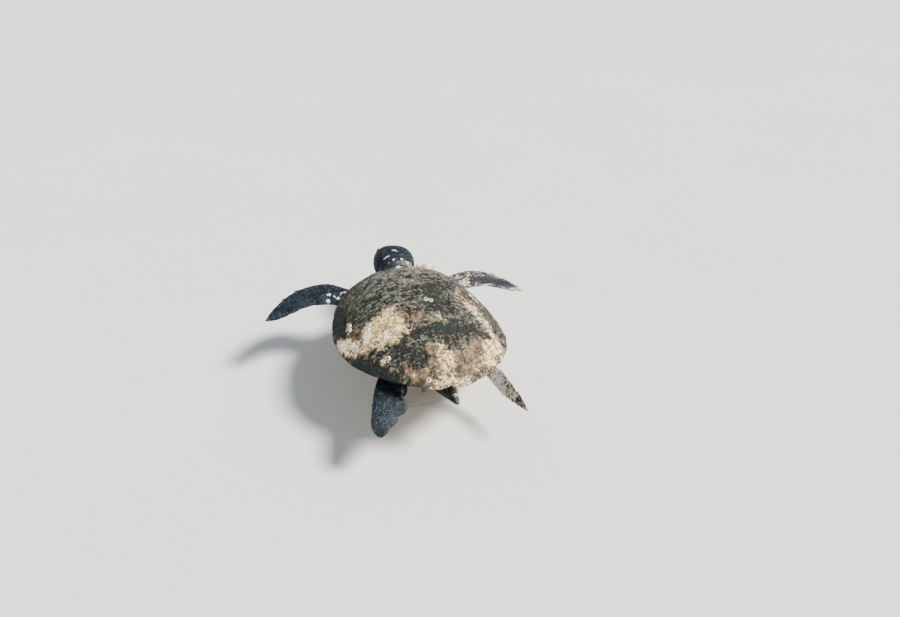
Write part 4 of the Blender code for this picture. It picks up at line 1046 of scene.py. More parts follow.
def make_trunk():
    """Closed body: the dome's underside above and the belly beneath."""
    turn = 2.0 * np.arange(TRUNK_AROUND) / TRUNK_AROUND
    share = np.concatenate([np.linspace(0.01, 1.0, TRUNK_RINGS), np.linspace(1.0, 0.01, TRUNK_RINGS)])
    w, side = np.where(turn <= 1.0, turn, 2.0 - turn), np.where(turn <= 1.0, 1.0, -1.0)
    plan = rim(w, TRUNK_INSET)[None] - np.array([0.0, SHELL_MIDDLE])
    plan = plan * share[:, None, None] + np.array([0.0, SHELL_MIDDLE])
    x, fore = plan[..., 0] * side, plan[..., 1]
    top = np.arange(2 * TRUNK_RINGS)[:, None] < TRUNK_RINGS
    below = 1.0 - top * np.ones(x.shape)
    points = np.stack([x, -fore, np.where(top, dome(x, fore) - TRUNK_DROP, belly(x, fore))], -1)
    folds = TRUNK_FOLDS * lumps(points, 15.0, 4) * smooth(-share, -1.0, -0.97)[:, None]
    points[..., 2] += (folds + 0.0012) * below
    return points, {"raise": np.ones(x.shape), "tone": np.zeros(x.shape), "under": below}


tail_part, trunk_part = make_tail(), make_trunk()
print("tail", tail_part[0].shape[:2], "trunk", trunk_part[0].shape[:2])

# %% [markdown]
# ## One skin
# The lofts overlap at the limbs' roots.  A Boolean union of closed bodies makes them one
# surface with no seam and nothing left inside, and it keeps the values stored on the
# points.  The creases that it leaves lie under the shell's rim, where real skin folds too.
# A fleshy lid is a tube that follows each eye's opening, and the union takes it in too.

# %% Paleness of the skin
# Each oval: x, fore, half length, half width, lean in degrees, strength
SKIN_PALE = (
    (0.020, 0.479, 0.015, 0.0036, -6.0, 0.95), (-0.020, 0.517, 0.0110, 0.0065, 0.0, 1.00),
    (-0.003, 0.456, 0.0048, 0.0044, 0.0, 1.10), (-0.039, 0.457, 0.0055, 0.0044, 0.0, 1.10),
    (0.045, 0.456, 0.028, 0.0080, 10.0, 0.34), (-0.025, 0.441, 0.075, 0.0120, 0.0, 0.26),
    (-0.080, 0.440, 0.024, 0.020, 0.0, 0.30), (-0.030, 0.506, 0.0080, 0.0060, 0.0, 0.45),
    (0.294, 0.336, 0.0090, 0.0085, 0.0, 1.20), (0.303, 0.296, 0.0065, 0.0105, 0.0, 1.20),
    (0.276, 0.318, 0.0036, 0.0090, -20.0, 1.10), (0.262, 0.303, 0.0055, 0.0070, 0.0, 1.10),
    (0.246, 0.328, 0.0042, 0.0090, 20.0, 1.00), (0.230, 0.335, 0.0070, 0.0060, 0.0, 0.75),
    (0.340, 0.318, 0.040, 0.0080, 10.0, 0.16), (0.142, -0.312, 0.034, 0.012, 80.0, 0.45),
    (-0.292, 0.318, 0.022, 0.016, 0.0, 0.30), (-0.335, 0.352, 0.060, 0.045, 0.0, 0.05),
    (-0.507, 0.305, 0.110, 0.011, 68.0, 0.60), (-0.448, 0.388, 0.050, 0.009, 45.0, 0.50),
    (-0.514, 0.228, 0.030, 0.020, 0.0, 0.45), (-0.360, 0.282, 0.050, 0.006, -8.0, 0.45),
    # The first oval on the next line paints sunlight on the tail's right side.
    (-0.032, -0.388, 0.022, 0.055, 0.0, 0.46), (-0.222, -0.250, 0.055, 0.040, 60.0, 0.50),
    (-0.200, -0.305, 0.050, 0.009, 70.0, 0.50), (-0.235, -0.330, 0.060, 0.020, 70.0, 0.16),
)
SKIN_SHADE = (
    (-0.430, 0.311, 0.080, 0.028, 30.0, 0.42), (-0.250, -0.410, 0.055, 0.030, 70.0, 0.30),
    (-0.350, 0.330, 0.030, 0.010, 0.0, 0.14),
)


def paleness(points, under):
    """How pale the skin is: darker on its left and paler, pinkish on its right, painted shade and painted
    sunlight, and pale beneath.
    """
    x, fore = points[..., 0], -points[..., 1]
    # Painted sunlight and shade: the skin is paler on the right, the side the key lights, and darker on the
    # left.
    base = 0.05 + 0.36 * smooth(-x, 0.02, 0.26) + 0.10 * smooth(-fore, 0.20, 0.40) * smooth(-x, 0.05, 0.20)
    under = under * (1.0 - 0.72 * smooth(-x, 0.12, 0.20) * smooth(-fore, 0.12, 0.20))
    # The head stays dark, with a little painted sunlight on its right side.
    base = np.where((fore > 0.36) & (np.abs(x) < 0.13), 0.05 + 0.10 * smooth(-x, 0.0, 0.08), base)
    spots = growth(x, fore, SKIN_PALE) - growth(x, fore, SKIN_SHADE)
    return np.clip(base * (1.0 - 0.7 * under) + spots * (1.0 - under) + 0.93 * under, 0.0, 1.2)


print("pale ovals:", len(SKIN_PALE), "shaded:", len(SKIN_SHADE))


# %% Lids
LID_CLEARANCE, LID_THICK, LID_BROW, LID_CREASE = 0.0003, 0.0019, 0.0013, 0.00008


def make_lids(side):
    """Fleshy rim that hugs the eyeball round its opening, thicker above."""
    centre, out, ahead, up = eye_axes(side)
    turn, roll = turns(LID_STEPS), turns(14)[:, None]
    a, b = LID_LONG * np.cos(turn), LID_HIGH * np.sin(turn) * np.where(np.sin(turn) > 0.0, 0.92, 1.0)
    rise = np.sqrt((EYE_RADIUS + LID_CLEARANCE) ** 2 - a ** 2 - b ** 2)
    path = centre + a[:, None] * ahead + b[:, None] * up + rise[:, None] * out
    outward = unit(path - centre)
    aside = unit(np.cross(np.roll(path, -1, 0) - np.roll(path, 1, 0), outward))
    thick = LID_THICK + LID_BROW * np.maximum(0.0, np.sin(turn)) + LID_CREASE * np.sin(11.0 * turn)
    ring = outward[:, None] * np.sin(roll) * 0.75 + aside[:, None] * np.cos(roll) * 1.25
    points = to_body(path[:, None] + ring * thick[:, None, None])
    flat = np.zeros(points.shape[:2])
    return points, {"raise": flat + 0.8, "tone": flat, "under": flat}


lids = [make_lids(side) for side in (1.0, -1.0)]
print("lids:", [points.shape[:2] for points, values in lids])


# %% Union of the skin
def skin_part(name, points, values, faces=loft_faces):
    """One closed body of the skin, before the union."""
    kept = {"raise": values["raise"], "tone": values["tone"], "pale": paleness(points, values["under"]),
            "known": np.ones(points.shape[:2])}
    return add_piece(name, points, faces(*points.shape[:2]), kept)


def apply_steps(piece):
    """Put what a piece's modifiers make in place of its mesh."""
    graph = bpy.context.evaluated_depsgraph_get()
    made = bpy.data.meshes.new_from_object(piece.evaluated_get(graph))
    piece.modifiers.clear()
    piece.data = made
    made.shade_smooth()


def unite(whole, parts):
    """Join closed bodies into the first one and remove the others."""
    for part in parts:
        step = whole.modifiers.new(part.name, "BOOLEAN")
        step.operation, step.solver, step.object = "UNION", "MANIFOLD", part
    apply_steps(whole)
    for part in parts:
        bpy.data.objects.remove(part, do_unlink=True)


def heal_values(mesh):
    """Give points made by the union the values of their neighbours."""
    known = np.empty(len(mesh.vertices))
    mesh.attributes["known"].data.foreach_get("value", known)
    edges = np.empty(2 * len(mesh.edges), int)
    mesh.edges.foreach_get("vertices", edges)
    a, b = edges.reshape(-1, 2).T

    def gathered(numbers):
        """Sum over each point's neighbours."""
        return np.bincount(a, numbers[b], len(known)) + np.bincount(b, numbers[a], len(known))

    weight = np.maximum(gathered(known), 1e-6)
    for key in ("raise", "tone", "pale"):
        numbers = np.empty(len(known))
        mesh.attributes[key].data.foreach_get("value", numbers)
        numbers = np.where(known > 0.5, numbers, gathered(known * numbers) / weight)
        mesh.attributes[key].data.foreach_set("value", numbers)
    mesh.attributes.remove(mesh.attributes["known"])


skin = skin_part("skin", *trunk_part)
limbs = [skin_part("lid_loft", *lid, faces=hoop_faces) for lid in lids]
limbs += [skin_part("head_loft", *head_part), skin_part("tail_loft", *tail_part)]
limbs += [skin_part(f"{word}_loft", *made) for word, made in blades.items()]
unite(skin, limbs)
heal_values(skin.data)
stand_for(skin, "skin", "trunk", "neck", "head", "tail", *(f"flipper_{word}" for word in FLIPPERS))
print("skin:", len(skin.data.vertices), "points", len(skin.data.polygons), "faces")

# %% [markdown]
# ## Beak
# A loggerhead has no teeth: a thick sheath of horn covers each jaw, and the upper one
# overlaps the lower.  Each sheath is the front of the head's own surface, a little proud,
# cut out by its outline seen from the side.  A fine voxel remesh then rounds the cut edges,
# which a bevel can't do on so many small faces.

# %% Horn sheaths
BEAK_VOXEL, MOUTH_GAP, BLOCK_HALF = 0.0013, 0.0005, 0.15
UPPER_PROUD, LOWER_PROUD = 0.0004, -0.0006
bite_curve = through(BITE_LINE, np.linspace(0.0, 1.0, 24))
top_curve = through(BEAK_TOP, np.linspace(0.0, 1.0, 40))
under_curve = through(BEAK_UNDER, np.linspace(0.0, 1.0, 30))


def side_block(outline):
    """Closed block across the head, with the given outline (fore, z) seen from the side."""
    rings = [np.insert(outline * [-1.0, 1.0], 0, x, axis=1) for x in (-BLOCK_HALF, BLOCK_HALF)]
    return add_loft("beak_block", to_body(np.array(rings)))


def make_beak(name, node, outline, proud):
    """One horny sheath."""
    points = head_surface(*np.meshgrid(head_stations(0.36, 90, 50), ring_angles, indexing="ij"))
    sheath, block = add_loft(name, to_body(points + ring_normals(points) * proud)), side_block(outline)
    cut = sheath.modifiers.new("cut", "BOOLEAN")
    cut.operation, cut.solver, cut.object = "INTERSECT", "MANIFOLD", block
    rounded = sheath.modifiers.new("rounded", "REMESH")
    rounded.mode, rounded.voxel_size = "VOXEL", BEAK_VOXEL
    softened = sheath.modifiers.new("softened", "SMOOTH")
    softened.factor, softened.iterations = 0.5, 5
    apply_steps(sheath)
    bpy.data.objects.remove(block, do_unlink=True)
    stand_for(sheath, "horn", node)
    return sheath


upper_jaw = make_beak("upper_sheath", "beak_upper",
                      np.concatenate([bite_curve + [0.0, MOUTH_GAP], top_curve[::-1]]), UPPER_PROUD)
lower_jaw = make_beak("lower_sheath", "beak_lower",
                      np.concatenate([bite_curve - [0.0, MOUTH_GAP], under_curve[::-1]]), LOWER_PROUD)
print("beak faces:", len(upper_jaw.data.polygons), len(lower_jaw.data.polygons))

# %% [markdown]
# ## Eyes
# The eyes are large, dark and wet, set in the sides of the head and looking a little
# forward.  Each is a ball whose own z axis is its gaze, so that the material can draw pupil
# and iris as rings round that axis.

# %% Eyeballs
CORNEA_BULGE, CORNEA_WIDTH, EYE_CLEARANCE = 0.035, 0.45, 0.0002


def make_eyeball(side, word):
    """Smooth ball with a slight bulge for the cornea, in its own frame."""
    centre, out, ahead, _ = eye_axes(side)
    polar, around = np.meshgrid(np.linspace(0.0, np.pi, 40), turns(64), indexing="ij")
    radius = EYE_RADIUS * (1.0 + CORNEA_BULGE * np.exp(-(polar / CORNEA_WIDTH) ** 2)) - EYE_CLEARANCE
    points = np.stack([np.sin(polar) * np.cos(around), np.sin(polar) * np.sin(around), np.cos(polar)], -1)
    points = (points * radius[..., None])[1:-1]
    basis = Matrix([list(ahead), list(np.cross(out, ahead)), list(out)]).transposed().to_4x4()
    head = POSE @ Matrix(HEAD_TO_BODY.tolist())
    ball = add_loft(f"eyeball_{word}", points, place=head @ Matrix.Translation(Vector(centre)) @ basis)
    stand_for(ball, "eye", f"eye_{word}")
    return ball


eyeballs = [make_eyeball(side, word) for side, word in ((1.0, "left"), (-1.0, "right"))]
print("eyes at", [tuple(round(v, 3) for v in ball.matrix_world.translation) for ball in eyeballs])

# %% [markdown]
# ## Claws
# Each flipper has two claws on its leading edge.  A claw is a short tapering horn that
# bends back towards the tip, so it is a row of shrinking rings along a small arc.

# %% Claws
CLAW_RINGS, CLAW_SIDES = 16, 14
CLAW_SLENDERNESS, CLAW_BED, CLAW_SPAN_STEP = 0.25, 0.004, 0.05
CLAW_SWEEP, CLAW_BEND, CLAW_POINT = 0.9, 0.35, 0.00035


def make_claw(word, spec, number, t):
    """Curved claw on the leading edge at t."""
    root = edge_place(spec["lead"], t)
    inward = unit(edge_place(spec["trail"], t) - root)
    along = unit(edge_place(spec["lead"], t + CLAW_SPAN_STEP) - root)
    out = unit(along - CLAW_SWEEP * inward)
    length = spec["claw_length"] / number ** 0.4
    s = np.linspace(0.0, 1.0, CLAW_RINGS)[:, None]
    spine = root + inward * CLAW_BED + out * length * (s - 0.05) + along * length * CLAW_BEND * s ** 2
    flat = unit(np.cross(out, inward))
    aside = unit(np.cross(out, flat))
    radius = length * CLAW_SLENDERNESS * (1.0 - s) ** 0.75 + CLAW_POINT
    turn = turns(CLAW_SIDES)[:, None]
    ring = np.cos(turn) * aside + np.sin(turn) * flat * 0.8
    claw = add_loft(f"horn_claw_{word}_{number}", spine[:, None] + ring * radius[:, None])
    stand_for(claw, "horn", f"claw_{word}_{number}")
    return claw


claws = [make_claw(word, spec, number, t) for word, spec in FLIPPERS.items()
         for number, t in enumerate(spec["claws"], start=1)]
print("claws:", len(claws))

# %% [markdown]
# ## Barnacles
# Turtle barnacles are low, six-sided rings of shell plates round a mouth.  One function
# turns a profile round each animal's own normal, and all of them are joined in one mesh.

# %% Barnacles
# Each barnacle: x, fore, radius, height
BARNACLES = (
    (0.003, -0.046, 0.0095, 0.0065), (-0.014, -0.052, 0.0090, 0.0060), (0.181, -0.236, 0.0090, 0.0060),
    (0.275, -0.030, 0.0090, 0.0060), (0.272, -0.010, 0.0075, 0.0050), (0.214, -0.070, 0.0075, 0.0050),
    (0.222, -0.088, 0.0060, 0.0040), (0.073, -0.360, 0.0095, 0.0055), (0.054, -0.374, 0.0090, 0.0055),
    (0.024, -0.384, 0.0080, 0.0050), (-0.060, -0.372, 0.0105, 0.0060), (0.034, 0.250, 0.0100, 0.0060),
    (-0.092, 0.268, 0.0230, 0.0220), (-0.120, 0.250, 0.0165, 0.0150), (-0.062, 0.277, 0.0120, 0.0110),
    (-0.120, -0.320, 0.0070, 0.0040), (0.302, -0.115, 0.0080, 0.0050),
)
BARNACLE_PROFILE = ((1.08, -0.30), (1.0, 0.05), (0.90, 0.42), (0.74, 0.80), (0.58, 1.0), (0.47, 0.96),
                    (0.40, 0.70), (0.35, 0.50), (0.16, 0.48), (0.01, 0.62))
BARNACLE_SIDES, PROFILE_STEPS = 48, 26


def shell_surface():
    """Search tree of all the shell's pieces."""
    points, faces = [], []
    for piece in shell_pieces:
        faces += [[len(points) + k for k in face.vertices] for face in piece.data.polygons]
        points += [vertex.co.copy() for vertex in piece.data.vertices]
    return BVHTree.FromPolygons(points, faces)


def shell_frame(x, fore):
    """Place on the shell straight below a point above it, and two directions and the outward one."""
    origin, down = POSE @ Vector((x, -fore, 1.0)), POSE.to_3x3() @ Vector((0.0, 0.0, -1.0))
    here, out = shell_tree.ray_cast(origin, down)[:2]
    out = out if out.dot(down) < 0.0 else -out
    first = out.orthogonal().normalized()
    return tuple(np.array(v) for v in (here, first, out.cross(first), out))


shell_tree = shell_surface()


def make_barnacles():
    """All barnacles in one mesh, each a ring of six plates with a shaft down its middle."""
    points, faces, pits = [], [], []
    turn = turns(BARNACLE_SIDES)
    share, level = np.split(through(BARNACLE_PROFILE, np.linspace(0.0, 1.0, PROFILE_STEPS)), 2, axis=1)
    for number, (x, fore, radius, height) in enumerate(BARNACLES):
        here, first, second, out = shell_frame(x, fore)
        phase = 2.0 * jitter(number, 4)
        ribs = 1.0 - 0.10 * np.abs(np.sin(3.0 * (turn + phase))) ** 6 + 0.03 * np.sin(17.0 * turn + number)
        mouth = 1.0 + 0.12 * np.sin(2.0 * turn + phase)
        wide = share * radius * np.where(share > 0.5, ribs, mouth)
        tall = level * height * (1.0 + 0.12 * np.sin(turn + phase) + 0.07 * np.sin(3.0 * turn))
        ring = wide[..., None] * (np.cos(turn)[:, None] * first + np.sin(turn)[:, None] * second)
        faces += [[index + number * wide.size for index in face] for face in loft_faces(*wide.shape)]
        points.append((here + ring + tall[..., None] * out).reshape(-1, 3))
        pits.append(np.broadcast_to(smooth(0.50 - share, 0.0, 0.10), wide.shape).ravel())
    return add_piece("barnacles", np.concatenate(points), faces, {"pit": np.concatenate(pits)},
                     Matrix.Identity(4))


barnacles = make_barnacles()
stand_for(barnacles, "belly")
print("barnacles:", len(BARNACLES))

# %% [markdown]
# ## Writing materials as sums
# A shader is easier to read as an expression than as boxes and wires.  'Socket' wraps one
# output, and its operators add Math nodes; 'Finish' is a material under construction, with
# one method for every other kind of node.

# %% Sockets
def arithmetic(operation, reflected=False):
    """Operator that adds one Math node; a reflected one takes the other value first."""
    def operate(self, other):
        first, second = (other, self) if reflected else (self, other)
        return self.finish.node("ShaderNodeMath", {"operation": operation}, {0: first, 1: second})
    return operate


class Socket:
    """One output of a shader node; arithmetic on it adds Math nodes to its finish."""

    def __init__(self, finish, output):
        self.finish, self.output = finish, output

    __add__ = __radd__ = arithmetic("ADD")
    __mul__ = __rmul__ = arithmetic("MULTIPLY")
    __sub__, __rsub__ = arithmetic("SUBTRACT"), arithmetic("SUBTRACT", reflected=True)
    __truediv__ = arithmetic("DIVIDE")


print("operators: + - * /")


# %% Finishes
def socket_name(key):
    """The shader's socket for a keyword such as base_color."""
    return key.replace("_", " ").title().replace("Ior", "IOR")


class Finish:
    """A material under construction."""

    def __init__(self, name, **constants):
        self.material = bpy.data.materials.new(name)
        self.material.use_nodes = True
        self.tree = self.material.node_tree
        self.shader = self.tree.nodes["Principled BSDF"]
        for key, value in constants.items():
            self.shader.inputs[socket_name(key)].default_value = value

    def node(self, kind, settings, sockets, output=0):
        """Add any node: its settings first, then a value or a link for each socket."""
        made = self.tree.nodes.new(kind)
        for key, value in settings.items():
            setattr(made, key, value)
        for key, value in sockets.items():
            self.feed(made.inputs[key], value)
        return Socket(self, made.outputs[output])

    def feed(self, target, value):
        """Link a socket, or set its value."""
        if isinstance(value, Socket):
            self.tree.links.new(value.output, target)
        else:
            target.default_value = (*value, 1.0) if target.type == "RGBA" else value

    def wire(self, **values):
        """Feed the shader's own sockets."""
        for key, value in values.items():
            self.feed(self.shader.inputs[socket_name(key)], value)

    def place(self):
        """Position in the piece's own frame."""
        return self.node("ShaderNodeTexCoord", {}, {}, "Object")

    def stored(self, name, output="Fac"):
        """A value kept on the mesh's points."""
        return self.node("ShaderNodeAttribute", {"attribute_name": name}, {}, output)

    def noise(self, scale, detail=4.0, rough=0.55, bend=0.0, where=None):
        """Fractal noise between 0 and 1."""
        return self.node("ShaderNodeTexNoise", {}, {"Vector": where or self.place(), "Scale": scale,
                         "Detail": detail, "Roughness": rough, "Distortion": bend})

    def rise(self, value, low, high):
        """0 below low, 1 above high, with a soft step between."""
        return self.node("ShaderNodeMapRange", {"interpolation_type": "SMOOTHSTEP", "clamp": True},
                         {"Value": value, "From Min": low, "From Max": high})

    def clouds(self, scale, detail=4.0, spread=0.16, bend=0.0, where=None):
        """Noise stretched to use the whole run from 0 to 1."""
        return self.rise(self.noise(scale, detail, 0.6, bend, where), 0.5 - spread, 0.5 + spread)

    def pebbles(self, scale):
        """Distance to the nearest of scattered points."""
        return self.node("ShaderNodeTexVoronoi", {}, {"Vector": self.place(), "Scale": scale})

    def mix(self, share, first, second):
        """Blend two colours."""
        return self.node("ShaderNodeMix", {"data_type": "RGBA"}, {0: share, 6: first, 7: second}, 2)

    def coats(self, ground, *layers):
        """Lay colours over a ground, each given as its share and its colour."""
        for share, colour in layers:
            ground = self.mix(share, ground, colour)
        return ground

    def bump(self, height, distance, strength):
        """Normals from a height in units of the distance."""
        return self.node("ShaderNodeBump", {},
                         {"Height": height, "Distance": distance, "Strength": strength})


def dress(finish, *objects):
    """Give objects a finish in all their slots."""
    for piece in objects:
        piece.data.materials.clear()
        piece.data.materials.append(finish.material)


print("methods:", [name for name in vars(Finish) if not name.startswith("__")])

# %% [markdown]
# ## Weathered shell, with painted shade
# Clean loggerhead horn is reddish brown, but on an old wild shell turf and silt hide it:
# olive and near black in patches, brown where worn, and cream where crusts grow.  Noise of
# three sizes breaks each patch up, streaks run outwards along each plate's grain, and pale
# specks gather in the stored 'pale' ovals.  Along the left rim the strongest 'dark' ovals are
# painted shade, near black and navy, and one 'pale' oval on the right flank is a painted highlight.

# %% Shell finish
SHELL_DARK, SHELL_OLIVE, SHELL_BROWN = (0.021, 0.023, 0.020), (0.108, 0.107, 0.078), (0.125, 0.090, 0.062)
SHELL_GREY, SHELL_TAN, SHELL_SAND = (0.226, 0.234, 0.218), (0.275, 0.188, 0.108), (0.590, 0.425, 0.220)
SHELL_CREAM, SHELL_WHITE, SHELL_SHADE_NAVY = (0.950, 0.800, 0.455), (0.950, 0.920, 0.820), (0.016, 0.032, 0.038)
SHELL_CRUMB = (0.215, 0.175, 0.090)

shell = Finish("weathered_shell_and_painted_shade", specular_ior_level=0.30)
broad, middle = shell.clouds(11.0), shell.clouds(36.0, 5.0, 0.17)
fine_noise, grit = shell.clouds(95.0, 4.0, 0.18), shell.clouds(260.0, 3.0, 0.20)
streaks = shell.clouds(1.0, where=shell.stored("grain", "Vector"))
pale, dark, warm, film, border = (shell.stored(key) for key in ("pale", "dark", "warm", "film", "border"))
mottle = middle * 0.38 + fine_noise * 0.37 + streaks * 0.25
turf = shell.mix(shell.rise(mottle, 0.30, 0.72), SHELL_DARK, SHELL_OLIVE)
worn = shell.mix(shell.rise(mottle, 0.28, 0.76), SHELL_BROWN, SHELL_TAN)
bare = shell.rise(warm * 0.9 + broad * 0.5 - dark * 0.4 + (middle - 0.5) * 0.5, 0.38, 0.80)
silt = shell.rise(fine_noise * 0.5 + grit * 0.2 + streaks * 0.4, 0.58, 0.88)
# Near black over the 'dark' ovals: dark turf, and painted shade along the left rim.
black = shell.rise(dark + (mottle - 0.5) * -1.0, 0.25, 0.95)
thin = shell.rise(pale + film + (mottle - 0.5) * 0.80, 0.22, 0.70)
thick = shell.rise(pale + (middle - 0.5) * 0.60 + (fine_noise - 0.5) * 0.50, 0.40, 0.86)
bleached = shell.rise(fine_noise * 0.7 + broad * 0.2 + pale * 0.35, 0.45, 0.95)
crumbs = shell.rise(1 - grit * 0.5 - fine_noise * 0.5, 0.44, 0.66)
crust = shell.coats(SHELL_SAND, (bleached, SHELL_CREAM),
                    (crumbs * 0.55, shell.mix(broad, SHELL_CRUMB, SHELL_TAN)))
whitest = shell.rise(pale + (grit - 0.5) * 0.5 + (fine_noise - 0.5) * 0.4, 1.02, 1.30)
specks = shell.rise(grit * 0.7 + fine_noise * 0.4, 0.80, 0.98)
flecks = shell.rise(1 - grit * 0.6 - middle * 0.4, 0.58, 0.80) * (1 - film * 0.8)
worn_seam = (1 - shell.rise(border, 0.0006, 0.0030)) * shell.rise(broad + fine_noise * 0.4, 0.2, 0.9)
# The navy layer over the strongest 'dark' ovals is painted shade along the left rim, and it also darkens the
# darkest turf patches.
ground = shell.coats(
    turf, (bare, worn), (silt * 0.75, SHELL_GREY), (black * 0.85, SHELL_DARK),
    (shell.rise(dark, 0.92, 1.15) * 0.65, SHELL_SHADE_NAVY), (thin * 0.80, shell.mix(warm, SHELL_GREY, SHELL_TAN)),
    (thick * 0.95, crust), (whitest, SHELL_WHITE), (specks * (0.12 + pale * 0.35), SHELL_CREAM),
    (flecks * 0.72, SHELL_DARK), (worn_seam * 0.60, SHELL_DARK))
shell.wire(base_color=ground, roughness=0.62 + mottle * 0.25,
           normal=shell.bump(fine_noise * 0.5 + grit * 0.4 + streaks * 0.25, 0.0022, 0.9))
dress(shell, *shell_pieces)
print("shell nodes:", len(shell.tree.nodes))

# %% [markdown]
# ## Skin
# The skin is slate above, with scales a little darker than the seams between them, and it
# turns pale and pinkish where the 'pale' value rises, which on the right side is partly
# painted sunlight.  On the right, the side the key lights, the dark scales are painted a dusky
# mauve instead of near black: painted sunlight.  The pressed-in grooves carry the seams'
# colour, each scale has its own shade, and fine wrinkles are bump.

# %% Skin finish
SKIN_BLACK, SKIN_SLATE, SKIN_SEAM = (0.008, 0.013, 0.021), (0.021, 0.035, 0.050), (0.115, 0.146, 0.172)
SKIN_MAUVE, SKIN_PINK, SKIN_CREAM = (0.120, 0.104, 0.124), (0.400, 0.320, 0.280), (0.690, 0.625, 0.530)
SKIN_FLECK, SKIN_WHITE, SKIN_SUNLIT_DARK = (0.026, 0.026, 0.038), (0.900, 0.870, 0.820), (0.048, 0.044, 0.056)

hide = Finish("scaled_skin", specular_ior_level=0.26)
raised, tone, paler = (hide.stored(key) for key in ("raise", "tone", "pale"))
cloud, patches, grain = hide.clouds(18.0), hide.clouds(84.0), hide.clouds(190.0, 3.0, 0.17)
shade = patches * 0.45 + grain * 0.28 + cloud * 0.12 + tone * 0.10
# Right of the middle, on the side the key lights, the dark scales are painted a dusky mauve: painted
# sunlight.
leftward = hide.node("ShaderNodeSeparateXYZ", {}, {"Vector": hide.place()})
dark_scale = hide.coats(
    SKIN_BLACK, (hide.rise(shade, 0.25, 0.75), SKIN_SLATE),
    (hide.rise(paler + (cloud - 0.5) * 0.3, 0.22, 0.55), SKIN_MAUVE),
    (hide.rise(leftward * -1.0, 0.10, 0.24) * 0.75, SKIN_SUNLIT_DARK))
pale_scale = hide.mix(hide.rise(shade, 0.30, 0.70), SKIN_PINK, SKIN_CREAM)
where_pale = hide.rise(paler * (0.25 + shade * 1.7), 0.42, 0.66)
seam = (1 - hide.rise(raised, 0.20, 0.85)) * hide.rise(cloud * 0.6 + patches * 0.5, 0.20, 0.80)
seam_colour = hide.mix(hide.rise(paler, 0.1, 0.5), SKIN_SEAM, SKIN_CREAM)
freckles = hide.rise(1 - grain * 0.45 - patches * 0.55, 0.52, 0.74) * hide.rise(paler, 0.12, 0.40)
dots = hide.rise(grain * 0.7 + patches * 0.4, 0.88, 1.02) * (0.06 + paler * 0.9)
whitest_skin = hide.rise(paler + (grain - 0.5) * 0.3, 0.90, 1.10)
hide_colour = hide.coats(
    dark_scale, (where_pale, pale_scale), (seam * (0.42 + paler * 0.2), seam_colour),
    (freckles * (1 - hide.rise(paler, 0.75, 1.05)) * 0.80, SKIN_FLECK), (dots, SKIN_CREAM),
    (whitest_skin * 0.9, SKIN_WHITE))
hide.wire(base_color=hide_colour, roughness=0.46 + patches * 0.22,
          normal=hide.bump(grain * 0.4 + patches * 0.5 + hide.pebbles(260.0) * 0.5, 0.0012, 0.8))
dress(hide, skin)
print("skin nodes:", len(hide.tree.nodes))

# %% [markdown]
# ## Horn, belly, eyes and barnacles
# Beak and claws are brown horn with fine growth lines.  The plastron is cream with brown
# clouds.  The eye is almost black, with a dark brown iris drawn as rings round the gaze.

# %% Smaller finishes
horn = Finish("brown_horn", specular_ior_level=0.5)
grown = horn.node("ShaderNodeMapping", {}, {"Vector": horn.place(), "Scale": (150.0, 40.0, 26.0)})
lines = horn.clouds(1.0, bend=0.4, where=grown)
stain, wear = horn.clouds(30.0, spread=0.14), horn.clouds(120.0, spread=0.14)
horn_colour = horn.coats(
    (0.040, 0.032, 0.024), (lines * 0.75 + wear * 0.25, (0.125, 0.092, 0.058)),
    (horn.rise(stain * 0.5 + lines * 0.5, 0.50, 1.00) * 0.55, (0.205, 0.155, 0.095)),
    (horn.rise(1 - stain, 0.35, 1.00) * 0.45, (0.022, 0.023, 0.024)))
horn.wire(base_color=horn_colour, roughness=0.36 + wear * 0.22,
          normal=horn.bump(lines * 0.6 + wear * 0.4, 0.0007, 0.8))
dress(horn, upper_jaw, lower_jaw, *claws)

cream = Finish("cream_belly", specular_ior_level=0.4)
stains, rubs = cream.noise(7.0, 5.0, 0.6), cream.noise(60.0, 4.0, 0.6)
seam_line = 1 - cream.rise(cream.stored("border"), 0.0008, 0.0050)
belly_colour = cream.coats(
    (0.660, 0.560, 0.360), (cream.rise(stains + (rubs - 0.5) * 0.4, 0.42, 0.66), (0.480, 0.350, 0.190)),
    (seam_line * 0.7, (0.190, 0.130, 0.075)))
cream.wire(base_color=belly_colour, roughness=0.45 + rubs * 0.2, normal=cream.bump(rubs, 0.0008, 0.6))
dress(cream, lower_shell)

chalk = Finish("barnacle_shell", specular_ior_level=0.35)
ridges = chalk.noise(170.0, 4.0, 0.6)
chalk_colour = chalk.coats(
    (0.560, 0.500, 0.400), (chalk.rise(ridges, 0.35, 0.65), (0.850, 0.820, 0.740)),
    (chalk.stored("pit") * 0.85, (0.120, 0.110, 0.085)))
chalk.wire(base_color=chalk_colour, roughness=0.60 + ridges * 0.25, normal=chalk.bump(ridges, 0.0010, 0.8))
dress(chalk, barnacles)

wet = Finish("wet_eye", roughness=0.22, specular_ior_level=0.22, coat_weight=0.05, coat_roughness=0.05)
flat_place = wet.node("ShaderNodeVectorMath", {"operation": "MULTIPLY"},
                      {0: wet.place(), 1: (1.0, 1.0, 0.0)})
from_axis = wet.node("ShaderNodeVectorMath", {"operation": "LENGTH"}, {0: flat_place}, "Value") / EYE_RADIUS
fibres = wet.noise(420.0, 3.0, 0.6)
iris = wet.mix(wet.rise(fibres, 0.35, 0.65), (0.008, 0.006, 0.004), (0.040, 0.024, 0.012))
wet.wire(base_color=wet.coats((0.002, 0.002, 0.002), (wet.rise(from_axis, 0.42, 0.50), iris),
                              (wet.rise(from_axis, 0.66, 0.76), (0.006, 0.006, 0.006))))
dress(wet, *eyeballs)
print("finishes:", [each.material.name for each in (horn, cream, chalk, wet)])

